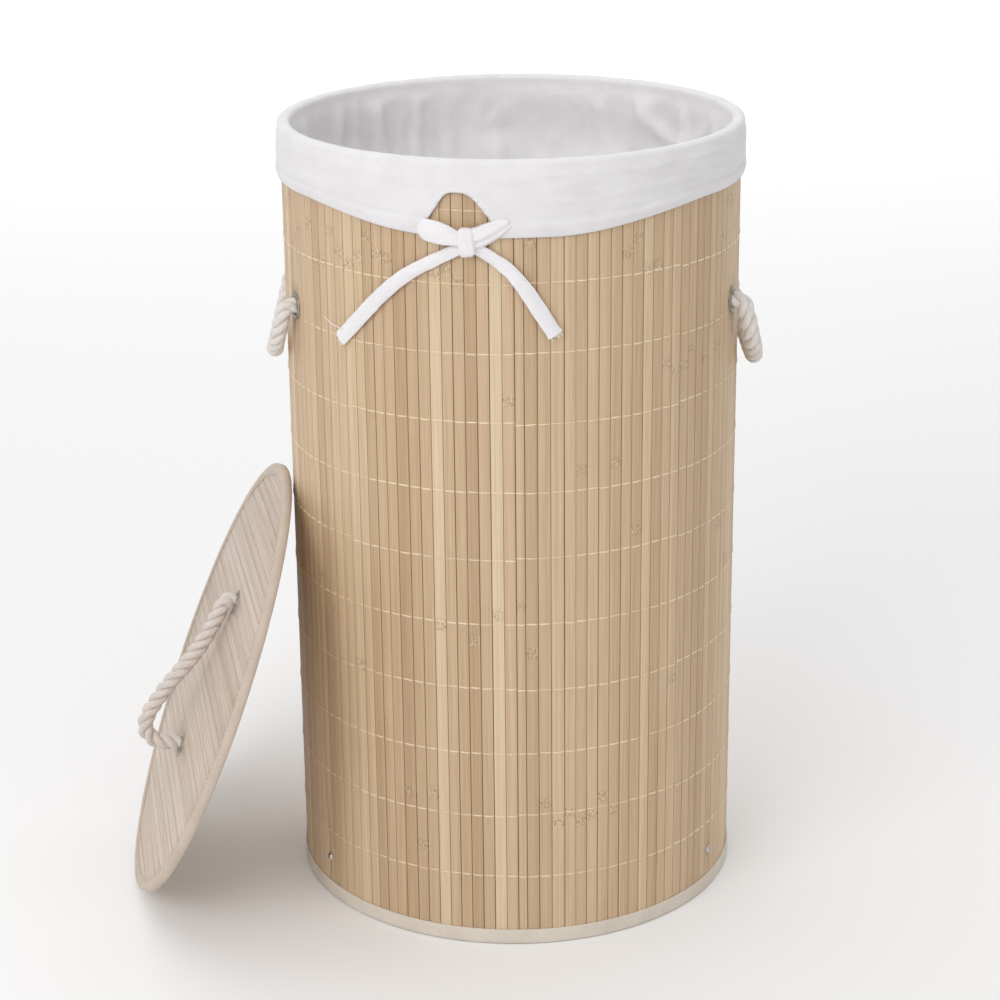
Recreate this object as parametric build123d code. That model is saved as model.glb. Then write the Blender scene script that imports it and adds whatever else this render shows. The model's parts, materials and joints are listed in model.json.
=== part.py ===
from build123d import *
import math
import os

# Round bamboo laundry hamper with a cotton liner and a loose round lid that leans on its side.
# Millimetres and degrees. +Z is up, -Y is the front, and the origin is the middle of the base on the floor.

# ---- wall ----
hamper_height = 600.0  # floor to the top of the wall's edge tape
wall_radius = 172.0  # axis to the outer face of a slat
slat_count = 120
slat_thickness = 2.0
slat_gap = 0.4  # between two slats
backing_thickness = 0.5  # cloth glued behind the slats
thread_size = 0.8
thread_rows = 11
thread_first = 56.5  # height of the lowest sewn row
thread_top_drop = 32.5  # top of the wall to the highest sewn row
seam_tape_width = 26.0
seam_tape_thickness = 0.5
hoop_thickness = 3.0
hoop_width = 20.0
edge_tape_thickness = 0.6
top_tape_width = 6.0
bottom_tape_width = 12.0
bottom_tape_thickness = 1.0

# ---- base ----
base_thickness = 9.0
screw_height = 32.0  # the middle of the base board's edge
screw_bearings = [-30.0, 30.0, 150.0, 210.0]
screw_radius = 1.5
screw_length = 20.0
screw_head_radius = 3.6
screw_head_height = 2.2
screw_head_rounding = 1.65

# ---- side ropes ----
rope_diameter = 13.0
hole_drop = 127.0  # top of the wall to the middle of the rope holes
hole_half_angle = 20.0  # each side's two holes stand this far from the X axis
eyelet_wall = 0.8
eyelet_flange_radius = 10.0
eyelet_flange_thickness = 0.9
rope_play = 0.3  # around the rope in its eyelet
rope_lift = 1.6  # eyelet to the underside of the loop that swings in front of it
knot_overhang = 6.0  # a knot stands out this far past the rope's own surface
knot_depth = 19.0
knot_rounding = 0.35  # share of a knot's depth
loop_lean = 14.0  # a hanging loop leans this far off the wall

# ---- liner ----
cloth_thickness = 1.2
body_gap = 0.4  # clear space between pieces that move apart
cuff_drop = 52.0  # the cuff reaches this far below the top of the wall
hem_width = 12.0
hem_thickness = 1.6
bag_play = 1.3  # around the bag, inside the rope knots
bag_shoulder_drop = 40.0  # the bag starts to narrow this far below the top of the wall
bag_shoulder_rise = 25.0  # and has narrowed this far above the rope holes

# ---- tie ----
tie_bearing = 258.5  # the front is 270
tie_knot_size = (9.0, 13.0, 17.0)  # outwards, along the cuff, up
tie_loop_left_size = (6.5, 26.0, 17.0)
tie_loop_right_size = (5.5, 21.0, 14.0)
tie_tail_diameter = 6.0
tie_knot_drop = 1.0  # the knot's middle below the hem's top edge
tie_loop_left_rise = 3.5
tie_loop_right_rise = 4.0
tie_tuck = 1.0  # each loop reaches this far into the knot
tie_knot_rounding = 3.0
tie_loop_left_rounding = 2.5
tie_loop_right_rounding = 2.2

# ---- lid ----
lid_overhang = 4.0  # past the outer face of a slat
lid_bearing = 186.4  # from the hamper's axis to the lid, seen from above
lid_lean = 22.3  # from upright
lid_board_thickness = 3.2
lid_slat_thickness = 1.6
lid_slat_pitch = 9.0
lid_slat_turn = 6.0  # the slats run across the line of the rope holes, this far off square
lid_tape_thickness = 0.6
lid_tape_width = 10.0
lid_tape_edge = 1.0
lid_hole_spacing = 129.0
lid_rope_standoff = 1.2  # lid face to the underside of the rope
lid_knot_depth = 14.0
cut_margin = 1.0  # a cut runs this far past the faces it opens

# ---- derived sizes ----
rope_radius = rope_diameter / 2
knot_radius = rope_radius + knot_overhang
slat_step = 360.0 / slat_count
slat_inner = wall_radius - slat_thickness
slat_width = 2 * slat_inner * math.tan(math.radians(slat_step / 2)) - slat_gap
slat_corner = math.hypot(wall_radius, slat_width / 2)
slat_bottom = bottom_tape_thickness
slat_top = hamper_height - edge_tape_thickness
thread_spacing = (hamper_height - thread_first - thread_top_drop) / (thread_rows - 1)
backing_inner = slat_inner - backing_thickness
hoop_inner = backing_inner - hoop_thickness
base_bottom = screw_height - base_thickness / 2
base_top = screw_height + base_thickness / 2
eyelet_inner = rope_radius + rope_play
eyelet_outer = eyelet_inner + eyelet_wall
washer_face = math.sqrt(backing_inner**2 - eyelet_flange_radius**2)
knot_face = washer_face - eyelet_flange_thickness
hole_height = hamper_height - hole_drop
hole_bearings = [side + turn for side in (0, 180) for turn in (-hole_half_angle, hole_half_angle)]
swing_radius = wall_radius + eyelet_flange_thickness + rope_lift + rope_radius
swing_x = swing_radius * math.cos(math.radians(hole_half_angle))
swing_y = swing_radius * math.sin(math.radians(hole_half_angle))
liner_outer = hoop_inner - edge_tape_thickness - body_gap
liner_fold = hamper_height + body_gap
cuff_inner = slat_corner + edge_tape_thickness + body_gap
cuff_outer = cuff_inner + cloth_thickness
cuff_bottom = hamper_height - cuff_drop
hem_top = cuff_bottom + hem_width
bag_bottom = base_top + body_gap
bag_radius = knot_face - knot_depth - bag_play
bag_shoulder_top = hamper_height - bag_shoulder_drop
bag_shoulder_bottom = hole_height + bag_shoulder_rise
tie_height = cuff_bottom
thread_outer = slat_corner + thread_size
lid_radius = wall_radius + lid_overhang


def ring(outer, inner, low, high):
    """A plain round band between two heights."""
    band = Cylinder(outer, high - low) - Cylinder(inner, high - low + 2 * cut_margin)
    return Pos(0, 0, (low + high) / 2) * band


def out_at(bearing, height=0.0):
    """A place on the axis whose X points outwards at this bearing."""
    return Pos(0, 0, height) * Rot(0, 0, bearing)


def spoke(radius, start, end):
    """A round bar along X."""
    return Pos((start + end) / 2, 0, 0) * Rot(0, 90, 0) * Cylinder(radius, end - start)


def round_tube(points, radius, name):
    """A round tube along straight runs, with arcs as large as the runs allow."""
    turns = [Vector(*b) - Vector(*a) for a, b in zip(points, points[1:])]
    radii = []
    for before, after in zip(turns, turns[1:]):
        half_turn = math.radians(before.get_angle(after) / 2)
        radii.append(0.45 * min(before.length, after.length) / math.tan(half_turn))
    route = FilletPolyline(*points, radius=radii)
    tube = sweep(Plane(route @ 0, z_dir=route % 0) * Circle(radius), path=route)
    section = math.pi * radius**2 * route.length
    print(name, "length", round(route.length, 1), "radii", [round(r, 1) for r in radii])
    print(name, "volume over section times length", round(tube.volume / section, 4))
    return tube


def save(shape, name):
    solids = shape.solids()
    whole = solids[0] if len(solids) == 1 else Compound(children=list(solids))
    export_step(whole, f"parts/{name}.step")
    print(name, len(solids), "solids")


os.makedirs("parts", exist_ok=True)

# ---- wall: one slat, turned round the axis, with the holes of the ropes and screws through it ----
slat_length = slat_top - slat_bottom
slat_middle = (slat_top + slat_bottom) / 2
screw_inner = wall_radius - screw_length
rope_bore = spoke(eyelet_outer, washer_face, swing_radius)
flange_bore = spoke(eyelet_flange_radius, washer_face, swing_radius)
screw_bore = spoke(screw_radius, screw_inner, swing_radius)
rope_holes = [out_at(b, hole_height) * rope_bore for b in hole_bearings]
flange_holes = [out_at(b, hole_height) * flange_bore for b in hole_bearings]
screw_holes = [out_at(b, screw_height) * screw_bore for b in screw_bearings]


def apart(a, b):
    """The smaller angle between two bearings."""
    return abs((a - b + 180) % 360 - 180)


def wall_slat(bearing):
    slat = Box(slat_thickness, slat_width, slat_length)
    slat = out_at(bearing, slat_middle) * Pos(slat_inner + slat_thickness / 2, 0, 0) * slat
    for places, holes, radius in (
        (hole_bearings, rope_holes, eyelet_outer),
        (screw_bearings, screw_holes, screw_radius),
    ):
        reach = math.degrees((radius + slat_width / 2) / slat_inner)
        for place, hole in zip(places, holes):
            if apart(bearing, place) < reach:
                slat = slat - hole
    return slat.solids()


sides = {"right": 0.0, "back": 90.0, "left": 180.0, "front": 270.0}
quarters = {side: [] for side in sides}
for number in range(slat_count):
    bearing = number * slat_step
    side = min(sides, key=lambda name: apart(sides[name], bearing - slat_step / 2))
    quarters[side] += wall_slat(bearing)
for side, slats in quarters.items():
    save(Compound(children=slats), f"wall_slats_{side}")

backing = ring(slat_inner, backing_inner, slat_bottom, slat_top)
for hole in rope_holes + screw_holes:
    backing = backing - hole
save(backing, "wall_backing_cloth")

threads = []
for row in range(thread_rows):
    height = thread_first + row * thread_spacing
    thread = ring(thread_outer, slat_corner, height - thread_size / 2, height + thread_size / 2)
    if abs(height - hole_height) < eyelet_flange_radius + thread_size:
        for hole in flange_holes:
            thread = thread - hole
    threads += thread.solids()
save(Compound(children=threads), "wall_threads")

seam_tape = ring(backing_inner, backing_inner - seam_tape_thickness, base_top, slat_top - hoop_width)
seam_box = Pos(0, wall_radius, hamper_height / 2) * Box(seam_tape_width, wall_radius, hamper_height)
save(seam_tape & seam_box, "wall_seam_tape")
save(ring(backing_inner, hoop_inner, slat_top - hoop_width, slat_top), "top_hoop")

top_tape = ring(
    slat_corner + edge_tape_thickness,
    hoop_inner - edge_tape_thickness,
    hamper_height - top_tape_width,
    hamper_height,
)
top_tape = top_tape - ring(slat_corner, hoop_inner, 0, slat_top)
save(top_tape, "top_edge_tape")
bottom_tape = ring(
    slat_corner + bottom_tape_thickness, backing_inner - bottom_tape_thickness, 0, bottom_tape_width
)
bottom_tape = bottom_tape - ring(slat_corner, backing_inner, slat_bottom, hamper_height)
save(bottom_tape, "bottom_edge_tape")

# ---- base ----
base = Pos(0, 0, screw_height) * Cylinder(backing_inner, base_thickness)
for hole in screw_holes:
    base = base - hole
save(base, "base_board")

head = spoke(screw_head_radius, wall_radius, wall_radius + screw_head_height)
head = fillet(head.edges().group_by(Axis.X)[-1], screw_head_rounding)
screw = head + spoke(screw_radius, screw_inner, wall_radius)
save(Compound(children=[out_at(b, screw_height) * screw for b in screw_bearings]), "base_screws")

# ---- eyelets, rope ends and side loops ----
flange = spoke(eyelet_flange_radius, slat_corner, slat_corner + eyelet_flange_thickness)
barrel = spoke(eyelet_outer, knot_face, slat_corner)
eyelet = flange + barrel - spoke(eyelet_inner, knot_face - cut_margin, swing_radius)
washer = spoke(eyelet_flange_radius, knot_face, washer_face)
washer = washer - spoke(eyelet_outer, knot_face - cut_margin, swing_radius)
save(Compound(children=[out_at(b, hole_height) * eyelet for b in hole_bearings]), "wall_eyelets")
save(Compound(children=[out_at(b, hole_height) * washer for b in hole_bearings]), "wall_eyelet_washers")

knot = spoke(knot_radius, knot_face - knot_depth, knot_face)
knot = fillet(knot.edges().filter_by(GeomType.CIRCLE), knot_depth * knot_rounding)
rope_end = knot + spoke(rope_radius, knot_face - knot_depth / 2, swing_radius - rope_radius - body_gap)
for side in ("right", "left"):
    bearings = (sides[side] - hole_half_angle, sides[side] + hole_half_angle)
    save(Compound(children=[out_at(b, hole_height) * rope_end for b in bearings]), f"rope_ends_{side}")

# each route: along the wall, then down the plane that the loop hangs in
right_route = [
    (-swing_y, 0),
    (-62.5, 15.5),
    (-57, 31),
    (-45, 45),
    (-28, 54.5),
    (-8, 58.5),
    (13, 56.5),
    (32, 49),
    (47, 36.5),
    (57.5, 19.5),
    (swing_y, 0),
]
left_route = [
    (-swing_y, 0),
    (-61, 13),
    (-53.5, 27),
    (-40, 38),
    (-22, 44.5),
    (-1, 46.5),
    (20, 43.5),
    (38, 35.5),
    (52.5, 22),
    (59.5, 9),
    (swing_y, 0),
]
loop_out = math.sin(math.radians(loop_lean))
loop_down = math.cos(math.radians(loop_lean))
for side, way, route in (("right", 1, right_route), ("left", -1, left_route)):
    points = [(way * (swing_x + v * loop_out), u, hole_height - v * loop_down) for u, v in route]
    loop = round_tube(points, rope_radius, f"rope_loop_{side}")
    for end in (points[0], points[-1]):
        loop = loop + Pos(*end) * Sphere(rope_radius)
    save(loop, f"rope_loop_{side}")

# ---- liner: bag, base, cuff and hem ----
bag_outline = [
    (liner_outer, liner_fold),
    (liner_outer, bag_shoulder_top),
    (bag_radius, bag_shoulder_bottom),
    (bag_radius, bag_bottom),
]
bag_inside = [(r - cloth_thickness, z) for r, z in reversed(bag_outline)]
bag_face = make_face(Plane.XZ * Polyline(*bag_outline, *bag_inside, close=True))
save(revolve(bag_face, Axis.Z), "liner_bag")
bag_floor = Cylinder(bag_radius - cloth_thickness, cloth_thickness)
save(Pos(0, 0, bag_bottom + cloth_thickness / 2) * bag_floor, "liner_base")

cuff = ring(cuff_outer, liner_outer - cloth_thickness, cuff_bottom, liner_fold + cloth_thickness)
cuff = cuff - Pos(0, 0, liner_fold / 2) * Cylinder(cuff_inner, liner_fold)
cuff = cuff - ring(cuff_outer + cut_margin, cuff_inner - cut_margin, 0, hem_top)
hem = ring(cuff_inner + hem_thickness, cuff_inner, cuff_bottom, hem_top)

# the opening at the tie: along the cuff from the knot, and up from the knot
notch_low = -hem_width - cut_margin
notch_outline = [
    (-32, notch_low),
    (-32, 3),
    (-28, 14),
    (-14, 32),
    (-2, 33.5),
    (17, 14),
    (27.5, 3),
    (27.5, notch_low),
]
notch = extrude(make_face(Plane.YZ * Polyline(*notch_outline, close=True)), 2 * hem_width, dir=(1, 0, 0))
notch = out_at(tie_bearing, tie_height) * Pos(slat_inner - hem_width, 0, 0) * notch
cuff = cuff - notch
hem = hem - notch
save(cuff, "liner_cuff")
save(hem, "liner_hem")

# ---- tie ----
tie_inner = thread_outer + body_gap


def on_cuff(along, rise):
    """A point in the middle of a tail: along the cuff from the knot, and up from it."""
    bearing = math.radians(tie_bearing) + along / tie_inner
    radius = tie_inner + tie_tail_diameter / 2
    return (radius * math.cos(bearing), radius * math.sin(bearing), tie_height + rise)


def tie_piece(size, along, rise, rounding):
    depth, width, tall = size
    piece = Pos(depth / 2, 0, 0) * Box(depth, width, tall)
    piece = fillet(piece.edges(), rounding)
    turn = math.degrees(along / tie_inner)
    return out_at(tie_bearing + turn, tie_height + rise) * Pos(tie_inner, 0, 0) * piece


knot_half = tie_knot_size[1] / 2
tie_knot = tie_piece(tie_knot_size, 0, -tie_knot_drop, tie_knot_rounding)
left_along = -knot_half - tie_loop_left_size[1] / 2 + tie_tuck
right_along = knot_half + tie_loop_right_size[1] / 2 - tie_tuck
loop_left = tie_piece(tie_loop_left_size, left_along, tie_loop_left_rise, tie_loop_left_rounding)
loop_right = tie_piece(tie_loop_right_size, right_along, tie_loop_right_rise, tie_loop_right_rounding)
loop_left = loop_left - tie_knot - hem - cuff
loop_right = loop_right - tie_knot - hem - cuff
save(tie_knot, "tie_knot")
save(loop_left, "tie_loop_left")
save(loop_right, "tie_loop_right")

# each tail: along the cuff from the knot, and up from it
left_tail = [(-5, -6), (-26, -16.5), (-48, -29), (-70, -48.5), (-89, -68), (-105, -83)]
right_tail = [(6, -6), (25, -17), (38.5, -33.5), (49.5, -51.5), (60, -68.5)]
for side, route, loop in (("left", left_tail, loop_left), ("right", right_tail, loop_right)):
    points = [on_cuff(along, rise) for along, rise in route]
    tail = round_tube(points, tie_tail_diameter / 2, f"tie_tail_{side}")
    save(tail - tie_knot - loop - hem, f"tie_tail_{side}")

# ---- lid: made flat on its back with +Y up its slope, then leant on the wall ----
lid_disc_radius = lid_radius - lid_tape_edge
lid_back = lid_tape_thickness
lid_board_back = lid_back + backing_thickness
lid_board_face = lid_board_back + lid_board_thickness
lid_face = lid_board_face + lid_slat_thickness
lid_thickness = lid_face + lid_tape_thickness
lid_holes = [(0, lid_hole_spacing / 2), (0, -lid_hole_spacing / 2)]
lid_swing = lid_face + eyelet_flange_thickness + lid_rope_standoff + rope_radius

lid_turn = math.radians(lid_bearing)
lid_tilt = math.radians(lid_lean)
away = Vector(math.cos(lid_turn), math.sin(lid_turn), 0)
lid_across = Vector(-math.sin(lid_turn), math.cos(lid_turn), 0)
lid_normal = away * math.cos(lid_tilt) + Vector(0, 0, 1) * math.sin(lid_tilt)
lid_out = thread_outer + body_gap + lid_radius * math.sin(lid_tilt)
lid_middle = away * lid_out + Vector(0, 0, lid_radius * math.cos(lid_tilt))
lid_place = Plane(origin=lid_middle, x_dir=lid_across, z_dir=lid_normal).location


def post(radius, low, high):
    """A round bar along Z."""
    return Pos(0, 0, (low + high) / 2) * Cylinder(radius, high - low)


def at_lid_holes(shape):
    return [Pos(x, y, 0) * shape for x, y in lid_holes]


def bored(shape, radius):
    for hole in at_lid_holes(post(radius, -lid_radius, lid_radius)):
        shape = shape - hole
    return shape


lid_board = bored(post(lid_disc_radius, lid_board_back, lid_board_face), eyelet_outer)
save(lid_place * lid_board, "lid_board")
lid_backing = bored(post(lid_disc_radius, lid_back, lid_board_back), eyelet_outer)
save(lid_place * lid_backing, "lid_backing_cloth")

lid_round = bored(post(lid_disc_radius, lid_board_face, lid_face), eyelet_outer)
lid_slats = []
rows_each_way = int(lid_disc_radius / lid_slat_pitch + 0.5)
for row in range(-rows_each_way, rows_each_way + 1):
    strip = Box(2 * lid_radius, lid_slat_pitch - slat_gap, 4 * lid_slat_thickness)
    strip = Rot(0, 0, lid_slat_turn) * Pos(0, row * lid_slat_pitch, lid_face) * strip
    lid_slats += (lid_round & strip).solids()
save(lid_place * Compound(children=lid_slats), "lid_slats")

lid_tape = post(lid_radius, 0, lid_thickness) - post(lid_disc_radius, lid_back, lid_face)
lid_tape = lid_tape - post(lid_radius - lid_tape_width, -cut_margin, lid_thickness + cut_margin)
save(lid_place * lid_tape, "lid_edge_tape")

lid_washer_back = lid_back - eyelet_flange_thickness
lid_flange = post(eyelet_flange_radius, lid_face, lid_face + eyelet_flange_thickness)
lid_eyelet = lid_flange + post(eyelet_outer, lid_washer_back, lid_face)
lid_eyelet = lid_eyelet - post(eyelet_inner, -lid_radius, lid_radius)
lid_washer = post(eyelet_flange_radius, lid_washer_back, lid_back)
lid_washer = lid_washer - post(eyelet_outer, -lid_radius, lid_radius)
save(lid_place * Compound(children=at_lid_holes(lid_eyelet)), "lid_eyelets")
save(lid_place * Compound(children=at_lid_holes(lid_washer)), "lid_eyelet_washers")

lid_knot = post(knot_radius, lid_washer_back - lid_knot_depth, lid_washer_back)
lid_knot = fillet(lid_knot.edges().filter_by(GeomType.CIRCLE), lid_knot_depth * knot_rounding)
lid_stub_top = lid_swing - rope_radius - body_gap
lid_rope_end = lid_knot + post(rope_radius, lid_washer_back - lid_knot_depth / 2, lid_stub_top)
save(lid_place * Compound(children=at_lid_holes(lid_rope_end)), "lid_rope_ends")

# down the slope from the upper hole to the lower one, and out from the line the rope swings about
lid_route = [
    (lid_hole_spacing / 2, 0),
    (46, 1),
    (26, 4),
    (7, 9),
    (-12, 16),
    (-30, 21.5),
    (-47, 25),
    (-60, 24),
    (-67.5, 13.5),
    (-lid_hole_spacing / 2, 0),
]
lid_points = [(0, v, lid_swing + w) for v, w in lid_route]
lid_rope = round_tube(lid_points, rope_radius, "lid_rope_loop")
for end in (lid_points[0], lid_points[-1]):
    lid_rope = lid_rope + Pos(*end) * Sphere(rope_radius)
save(lid_place * lid_rope, "lid_rope_loop")
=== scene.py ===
import json
import math
import random

import bmesh
import bpy
from mathutils import Matrix, Vector, noise
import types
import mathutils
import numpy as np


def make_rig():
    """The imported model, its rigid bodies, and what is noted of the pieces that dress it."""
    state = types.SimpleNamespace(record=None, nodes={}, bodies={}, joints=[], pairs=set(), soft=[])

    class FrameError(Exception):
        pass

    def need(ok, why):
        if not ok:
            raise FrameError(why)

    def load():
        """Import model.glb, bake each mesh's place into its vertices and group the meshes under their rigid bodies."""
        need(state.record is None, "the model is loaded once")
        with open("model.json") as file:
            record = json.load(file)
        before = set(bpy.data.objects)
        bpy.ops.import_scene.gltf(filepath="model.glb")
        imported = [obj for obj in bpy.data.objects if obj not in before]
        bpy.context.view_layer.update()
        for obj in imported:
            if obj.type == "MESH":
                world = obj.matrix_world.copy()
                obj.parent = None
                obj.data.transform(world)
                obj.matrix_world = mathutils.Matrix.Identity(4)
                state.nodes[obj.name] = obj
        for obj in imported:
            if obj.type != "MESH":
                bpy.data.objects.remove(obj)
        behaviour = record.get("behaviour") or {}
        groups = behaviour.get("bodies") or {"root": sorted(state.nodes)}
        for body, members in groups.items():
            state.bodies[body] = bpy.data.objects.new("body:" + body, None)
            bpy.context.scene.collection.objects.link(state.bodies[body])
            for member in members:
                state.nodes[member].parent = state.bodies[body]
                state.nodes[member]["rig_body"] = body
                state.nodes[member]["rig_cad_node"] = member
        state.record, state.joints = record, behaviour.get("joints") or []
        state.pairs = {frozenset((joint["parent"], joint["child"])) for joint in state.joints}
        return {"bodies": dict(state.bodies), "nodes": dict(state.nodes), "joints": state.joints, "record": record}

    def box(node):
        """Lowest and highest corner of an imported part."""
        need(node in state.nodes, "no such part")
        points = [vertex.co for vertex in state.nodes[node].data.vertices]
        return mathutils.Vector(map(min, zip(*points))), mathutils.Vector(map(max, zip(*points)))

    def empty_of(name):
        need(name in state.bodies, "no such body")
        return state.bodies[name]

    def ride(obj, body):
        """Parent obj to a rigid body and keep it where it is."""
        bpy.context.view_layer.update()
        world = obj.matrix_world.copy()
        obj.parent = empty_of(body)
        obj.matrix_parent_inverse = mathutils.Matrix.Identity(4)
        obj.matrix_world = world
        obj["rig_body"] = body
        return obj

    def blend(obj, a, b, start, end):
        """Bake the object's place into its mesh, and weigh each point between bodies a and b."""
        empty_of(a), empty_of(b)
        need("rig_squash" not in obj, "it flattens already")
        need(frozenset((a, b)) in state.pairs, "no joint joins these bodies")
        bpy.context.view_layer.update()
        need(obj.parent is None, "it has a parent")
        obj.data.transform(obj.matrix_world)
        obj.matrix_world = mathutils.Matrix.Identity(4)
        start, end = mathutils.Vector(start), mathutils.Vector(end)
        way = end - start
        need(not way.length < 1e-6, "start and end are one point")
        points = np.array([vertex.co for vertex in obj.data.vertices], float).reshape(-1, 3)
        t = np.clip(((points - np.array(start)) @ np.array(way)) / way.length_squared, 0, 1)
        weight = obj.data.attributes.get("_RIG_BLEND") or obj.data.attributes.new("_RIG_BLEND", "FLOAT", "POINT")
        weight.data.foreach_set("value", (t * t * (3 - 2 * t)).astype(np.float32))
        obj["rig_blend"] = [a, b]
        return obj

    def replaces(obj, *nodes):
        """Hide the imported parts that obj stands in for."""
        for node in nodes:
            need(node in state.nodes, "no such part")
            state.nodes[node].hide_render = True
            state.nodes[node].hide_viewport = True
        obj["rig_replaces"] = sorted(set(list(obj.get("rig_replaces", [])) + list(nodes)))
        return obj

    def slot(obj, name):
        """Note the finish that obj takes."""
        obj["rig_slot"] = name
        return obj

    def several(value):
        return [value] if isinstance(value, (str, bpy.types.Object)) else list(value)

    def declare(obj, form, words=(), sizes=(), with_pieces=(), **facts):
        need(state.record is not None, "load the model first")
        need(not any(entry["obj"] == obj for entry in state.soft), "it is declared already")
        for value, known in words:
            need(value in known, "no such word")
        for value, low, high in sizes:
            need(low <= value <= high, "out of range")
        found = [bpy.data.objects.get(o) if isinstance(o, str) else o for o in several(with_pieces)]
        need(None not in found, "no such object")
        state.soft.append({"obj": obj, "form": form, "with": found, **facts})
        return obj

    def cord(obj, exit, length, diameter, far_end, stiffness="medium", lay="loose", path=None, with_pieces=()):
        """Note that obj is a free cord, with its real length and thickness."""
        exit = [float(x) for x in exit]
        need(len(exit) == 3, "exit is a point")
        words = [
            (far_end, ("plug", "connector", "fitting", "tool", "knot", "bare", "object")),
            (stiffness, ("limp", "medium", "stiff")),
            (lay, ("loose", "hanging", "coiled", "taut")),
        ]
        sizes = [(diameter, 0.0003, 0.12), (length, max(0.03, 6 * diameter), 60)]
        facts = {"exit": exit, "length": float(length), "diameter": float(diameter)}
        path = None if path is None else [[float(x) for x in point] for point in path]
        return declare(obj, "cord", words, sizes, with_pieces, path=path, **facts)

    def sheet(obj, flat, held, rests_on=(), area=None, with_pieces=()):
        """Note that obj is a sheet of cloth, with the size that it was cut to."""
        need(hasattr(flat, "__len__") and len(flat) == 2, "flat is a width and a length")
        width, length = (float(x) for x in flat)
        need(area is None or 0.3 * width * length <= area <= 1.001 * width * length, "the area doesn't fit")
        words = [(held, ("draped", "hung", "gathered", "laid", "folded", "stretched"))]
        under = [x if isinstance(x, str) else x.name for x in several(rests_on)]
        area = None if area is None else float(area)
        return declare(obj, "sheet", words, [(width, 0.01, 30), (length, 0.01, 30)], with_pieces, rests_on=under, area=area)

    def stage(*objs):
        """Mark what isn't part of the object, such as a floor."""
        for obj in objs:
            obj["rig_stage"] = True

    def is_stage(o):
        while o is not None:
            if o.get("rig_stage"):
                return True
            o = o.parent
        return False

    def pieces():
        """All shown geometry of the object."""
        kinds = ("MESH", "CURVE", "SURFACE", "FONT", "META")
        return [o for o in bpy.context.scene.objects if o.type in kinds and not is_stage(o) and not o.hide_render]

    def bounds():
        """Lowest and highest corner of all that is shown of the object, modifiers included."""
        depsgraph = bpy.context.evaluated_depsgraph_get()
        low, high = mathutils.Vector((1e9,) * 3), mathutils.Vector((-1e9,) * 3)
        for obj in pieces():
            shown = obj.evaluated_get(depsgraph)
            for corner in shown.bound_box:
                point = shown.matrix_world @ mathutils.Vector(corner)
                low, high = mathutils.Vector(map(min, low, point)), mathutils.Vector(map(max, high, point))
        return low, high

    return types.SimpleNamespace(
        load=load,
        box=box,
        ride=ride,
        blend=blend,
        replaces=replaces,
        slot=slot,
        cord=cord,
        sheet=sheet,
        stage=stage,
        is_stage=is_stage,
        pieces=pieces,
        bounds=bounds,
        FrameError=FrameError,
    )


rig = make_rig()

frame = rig.load()
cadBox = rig.bounds()
mm = 0.001
joints = {joint["name"]: joint for joint in frame["joints"]}
scene = bpy.context.scene
scene.view_settings.view_transform = "Standard"
print("frame loaded:", len(frame["nodes"]), "nodes")


# small tools for meshes

def newObject(name, data):
    piece = bpy.data.objects.new(name, data)
    scene.collection.objects.link(piece)
    return piece


def asPiece(bm, name, body=None, material=None, sharpAngle=40):
    mesh = bpy.data.meshes.new(name)
    bm.to_mesh(mesh)
    bm.free()
    for face in mesh.polygons:
        face.use_smooth = True
    mesh.set_sharp_from_angle(angle=math.radians(sharpAngle))
    piece = newObject(name, mesh)
    if material:
        mesh.materials.append(material)
    if body:
        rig.ride(piece, body)
    return piece


def applyModifiers(piece):
    graph = bpy.context.evaluated_depsgraph_get()
    mesh = bpy.data.meshes.new_from_object(
        piece.evaluated_get(graph), preserve_all_data_layers=True, depsgraph=graph
    )
    spent = piece.data
    piece.modifiers.clear()
    piece.data = mesh
    bpy.data.meshes.remove(spent)
    mesh.name = piece.name


def carve(piece, cutter, operation="DIFFERENCE"):
    tool = piece.modifiers.new("carve", "BOOLEAN")
    tool.operation = operation
    tool.object = cutter
    tool.solver = "MANIFOLD"
    applyModifiers(piece)
    bpy.data.objects.remove(cutter)


def closeEnds(bm):
    rims = [edge for edge in bm.edges if edge.is_boundary]
    bmesh.ops.holes_fill(bm, edges=rims, sides=0)
    bmesh.ops.recalc_face_normals(bm, faces=bm.faces)


def spinProfile(bm, outline, axis, steps):
    spots = [bm.verts.new(point) for point in outline]
    rims = [bm.edges.new(pair) for pair in zip(spots, spots[1:] + spots[:1])]
    bmesh.ops.spin(
        bm, geom=spots + rims, cent=(0, 0, 0), axis=axis, angle=math.tau, steps=steps, use_merge=True
    )
    bmesh.ops.remove_doubles(bm, verts=bm.verts, dist=0.00001)
    bmesh.ops.recalc_face_normals(bm, faces=bm.faces)


def bar(bm, radius, length, place, segments=24):  # a round bar along its own Z
    return bmesh.ops.create_cone(
        bm, cap_ends=True, segments=segments, radius1=radius, radius2=radius, depth=length, matrix=place
    )


def copyInto(bm, template, place, values=None):  # adds a ready mesh, and returns its new points
    pointCount, faceCount = len(bm.verts), len(bm.faces)
    bm.from_mesh(template)
    bm.verts.ensure_lookup_table()
    bm.faces.ensure_lookup_table()
    fresh = bm.verts[pointCount:]
    bmesh.ops.transform(bm, matrix=place, verts=fresh)
    for name, value in (values or {}).items():
        layer = bm.faces.layers.float.get(name)
        for face in bm.faces[faceCount:]:
            face[layer] = value
    return fresh


def repeated(bm, template, places):  # copies made in small batches, which is quicker than one by one
    places = list(places)
    for start in range(0, len(places), 48):
        batch = bmesh.new()
        for place in places[start : start + 48]:
            copyInto(batch, template, place)
        addBatch(bm, batch)


def addBatch(bm, batch):
    mesh = bpy.data.meshes.new("batch")
    batch.to_mesh(mesh)
    batch.free()
    bm.from_mesh(mesh)
    bpy.data.meshes.remove(mesh)


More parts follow.
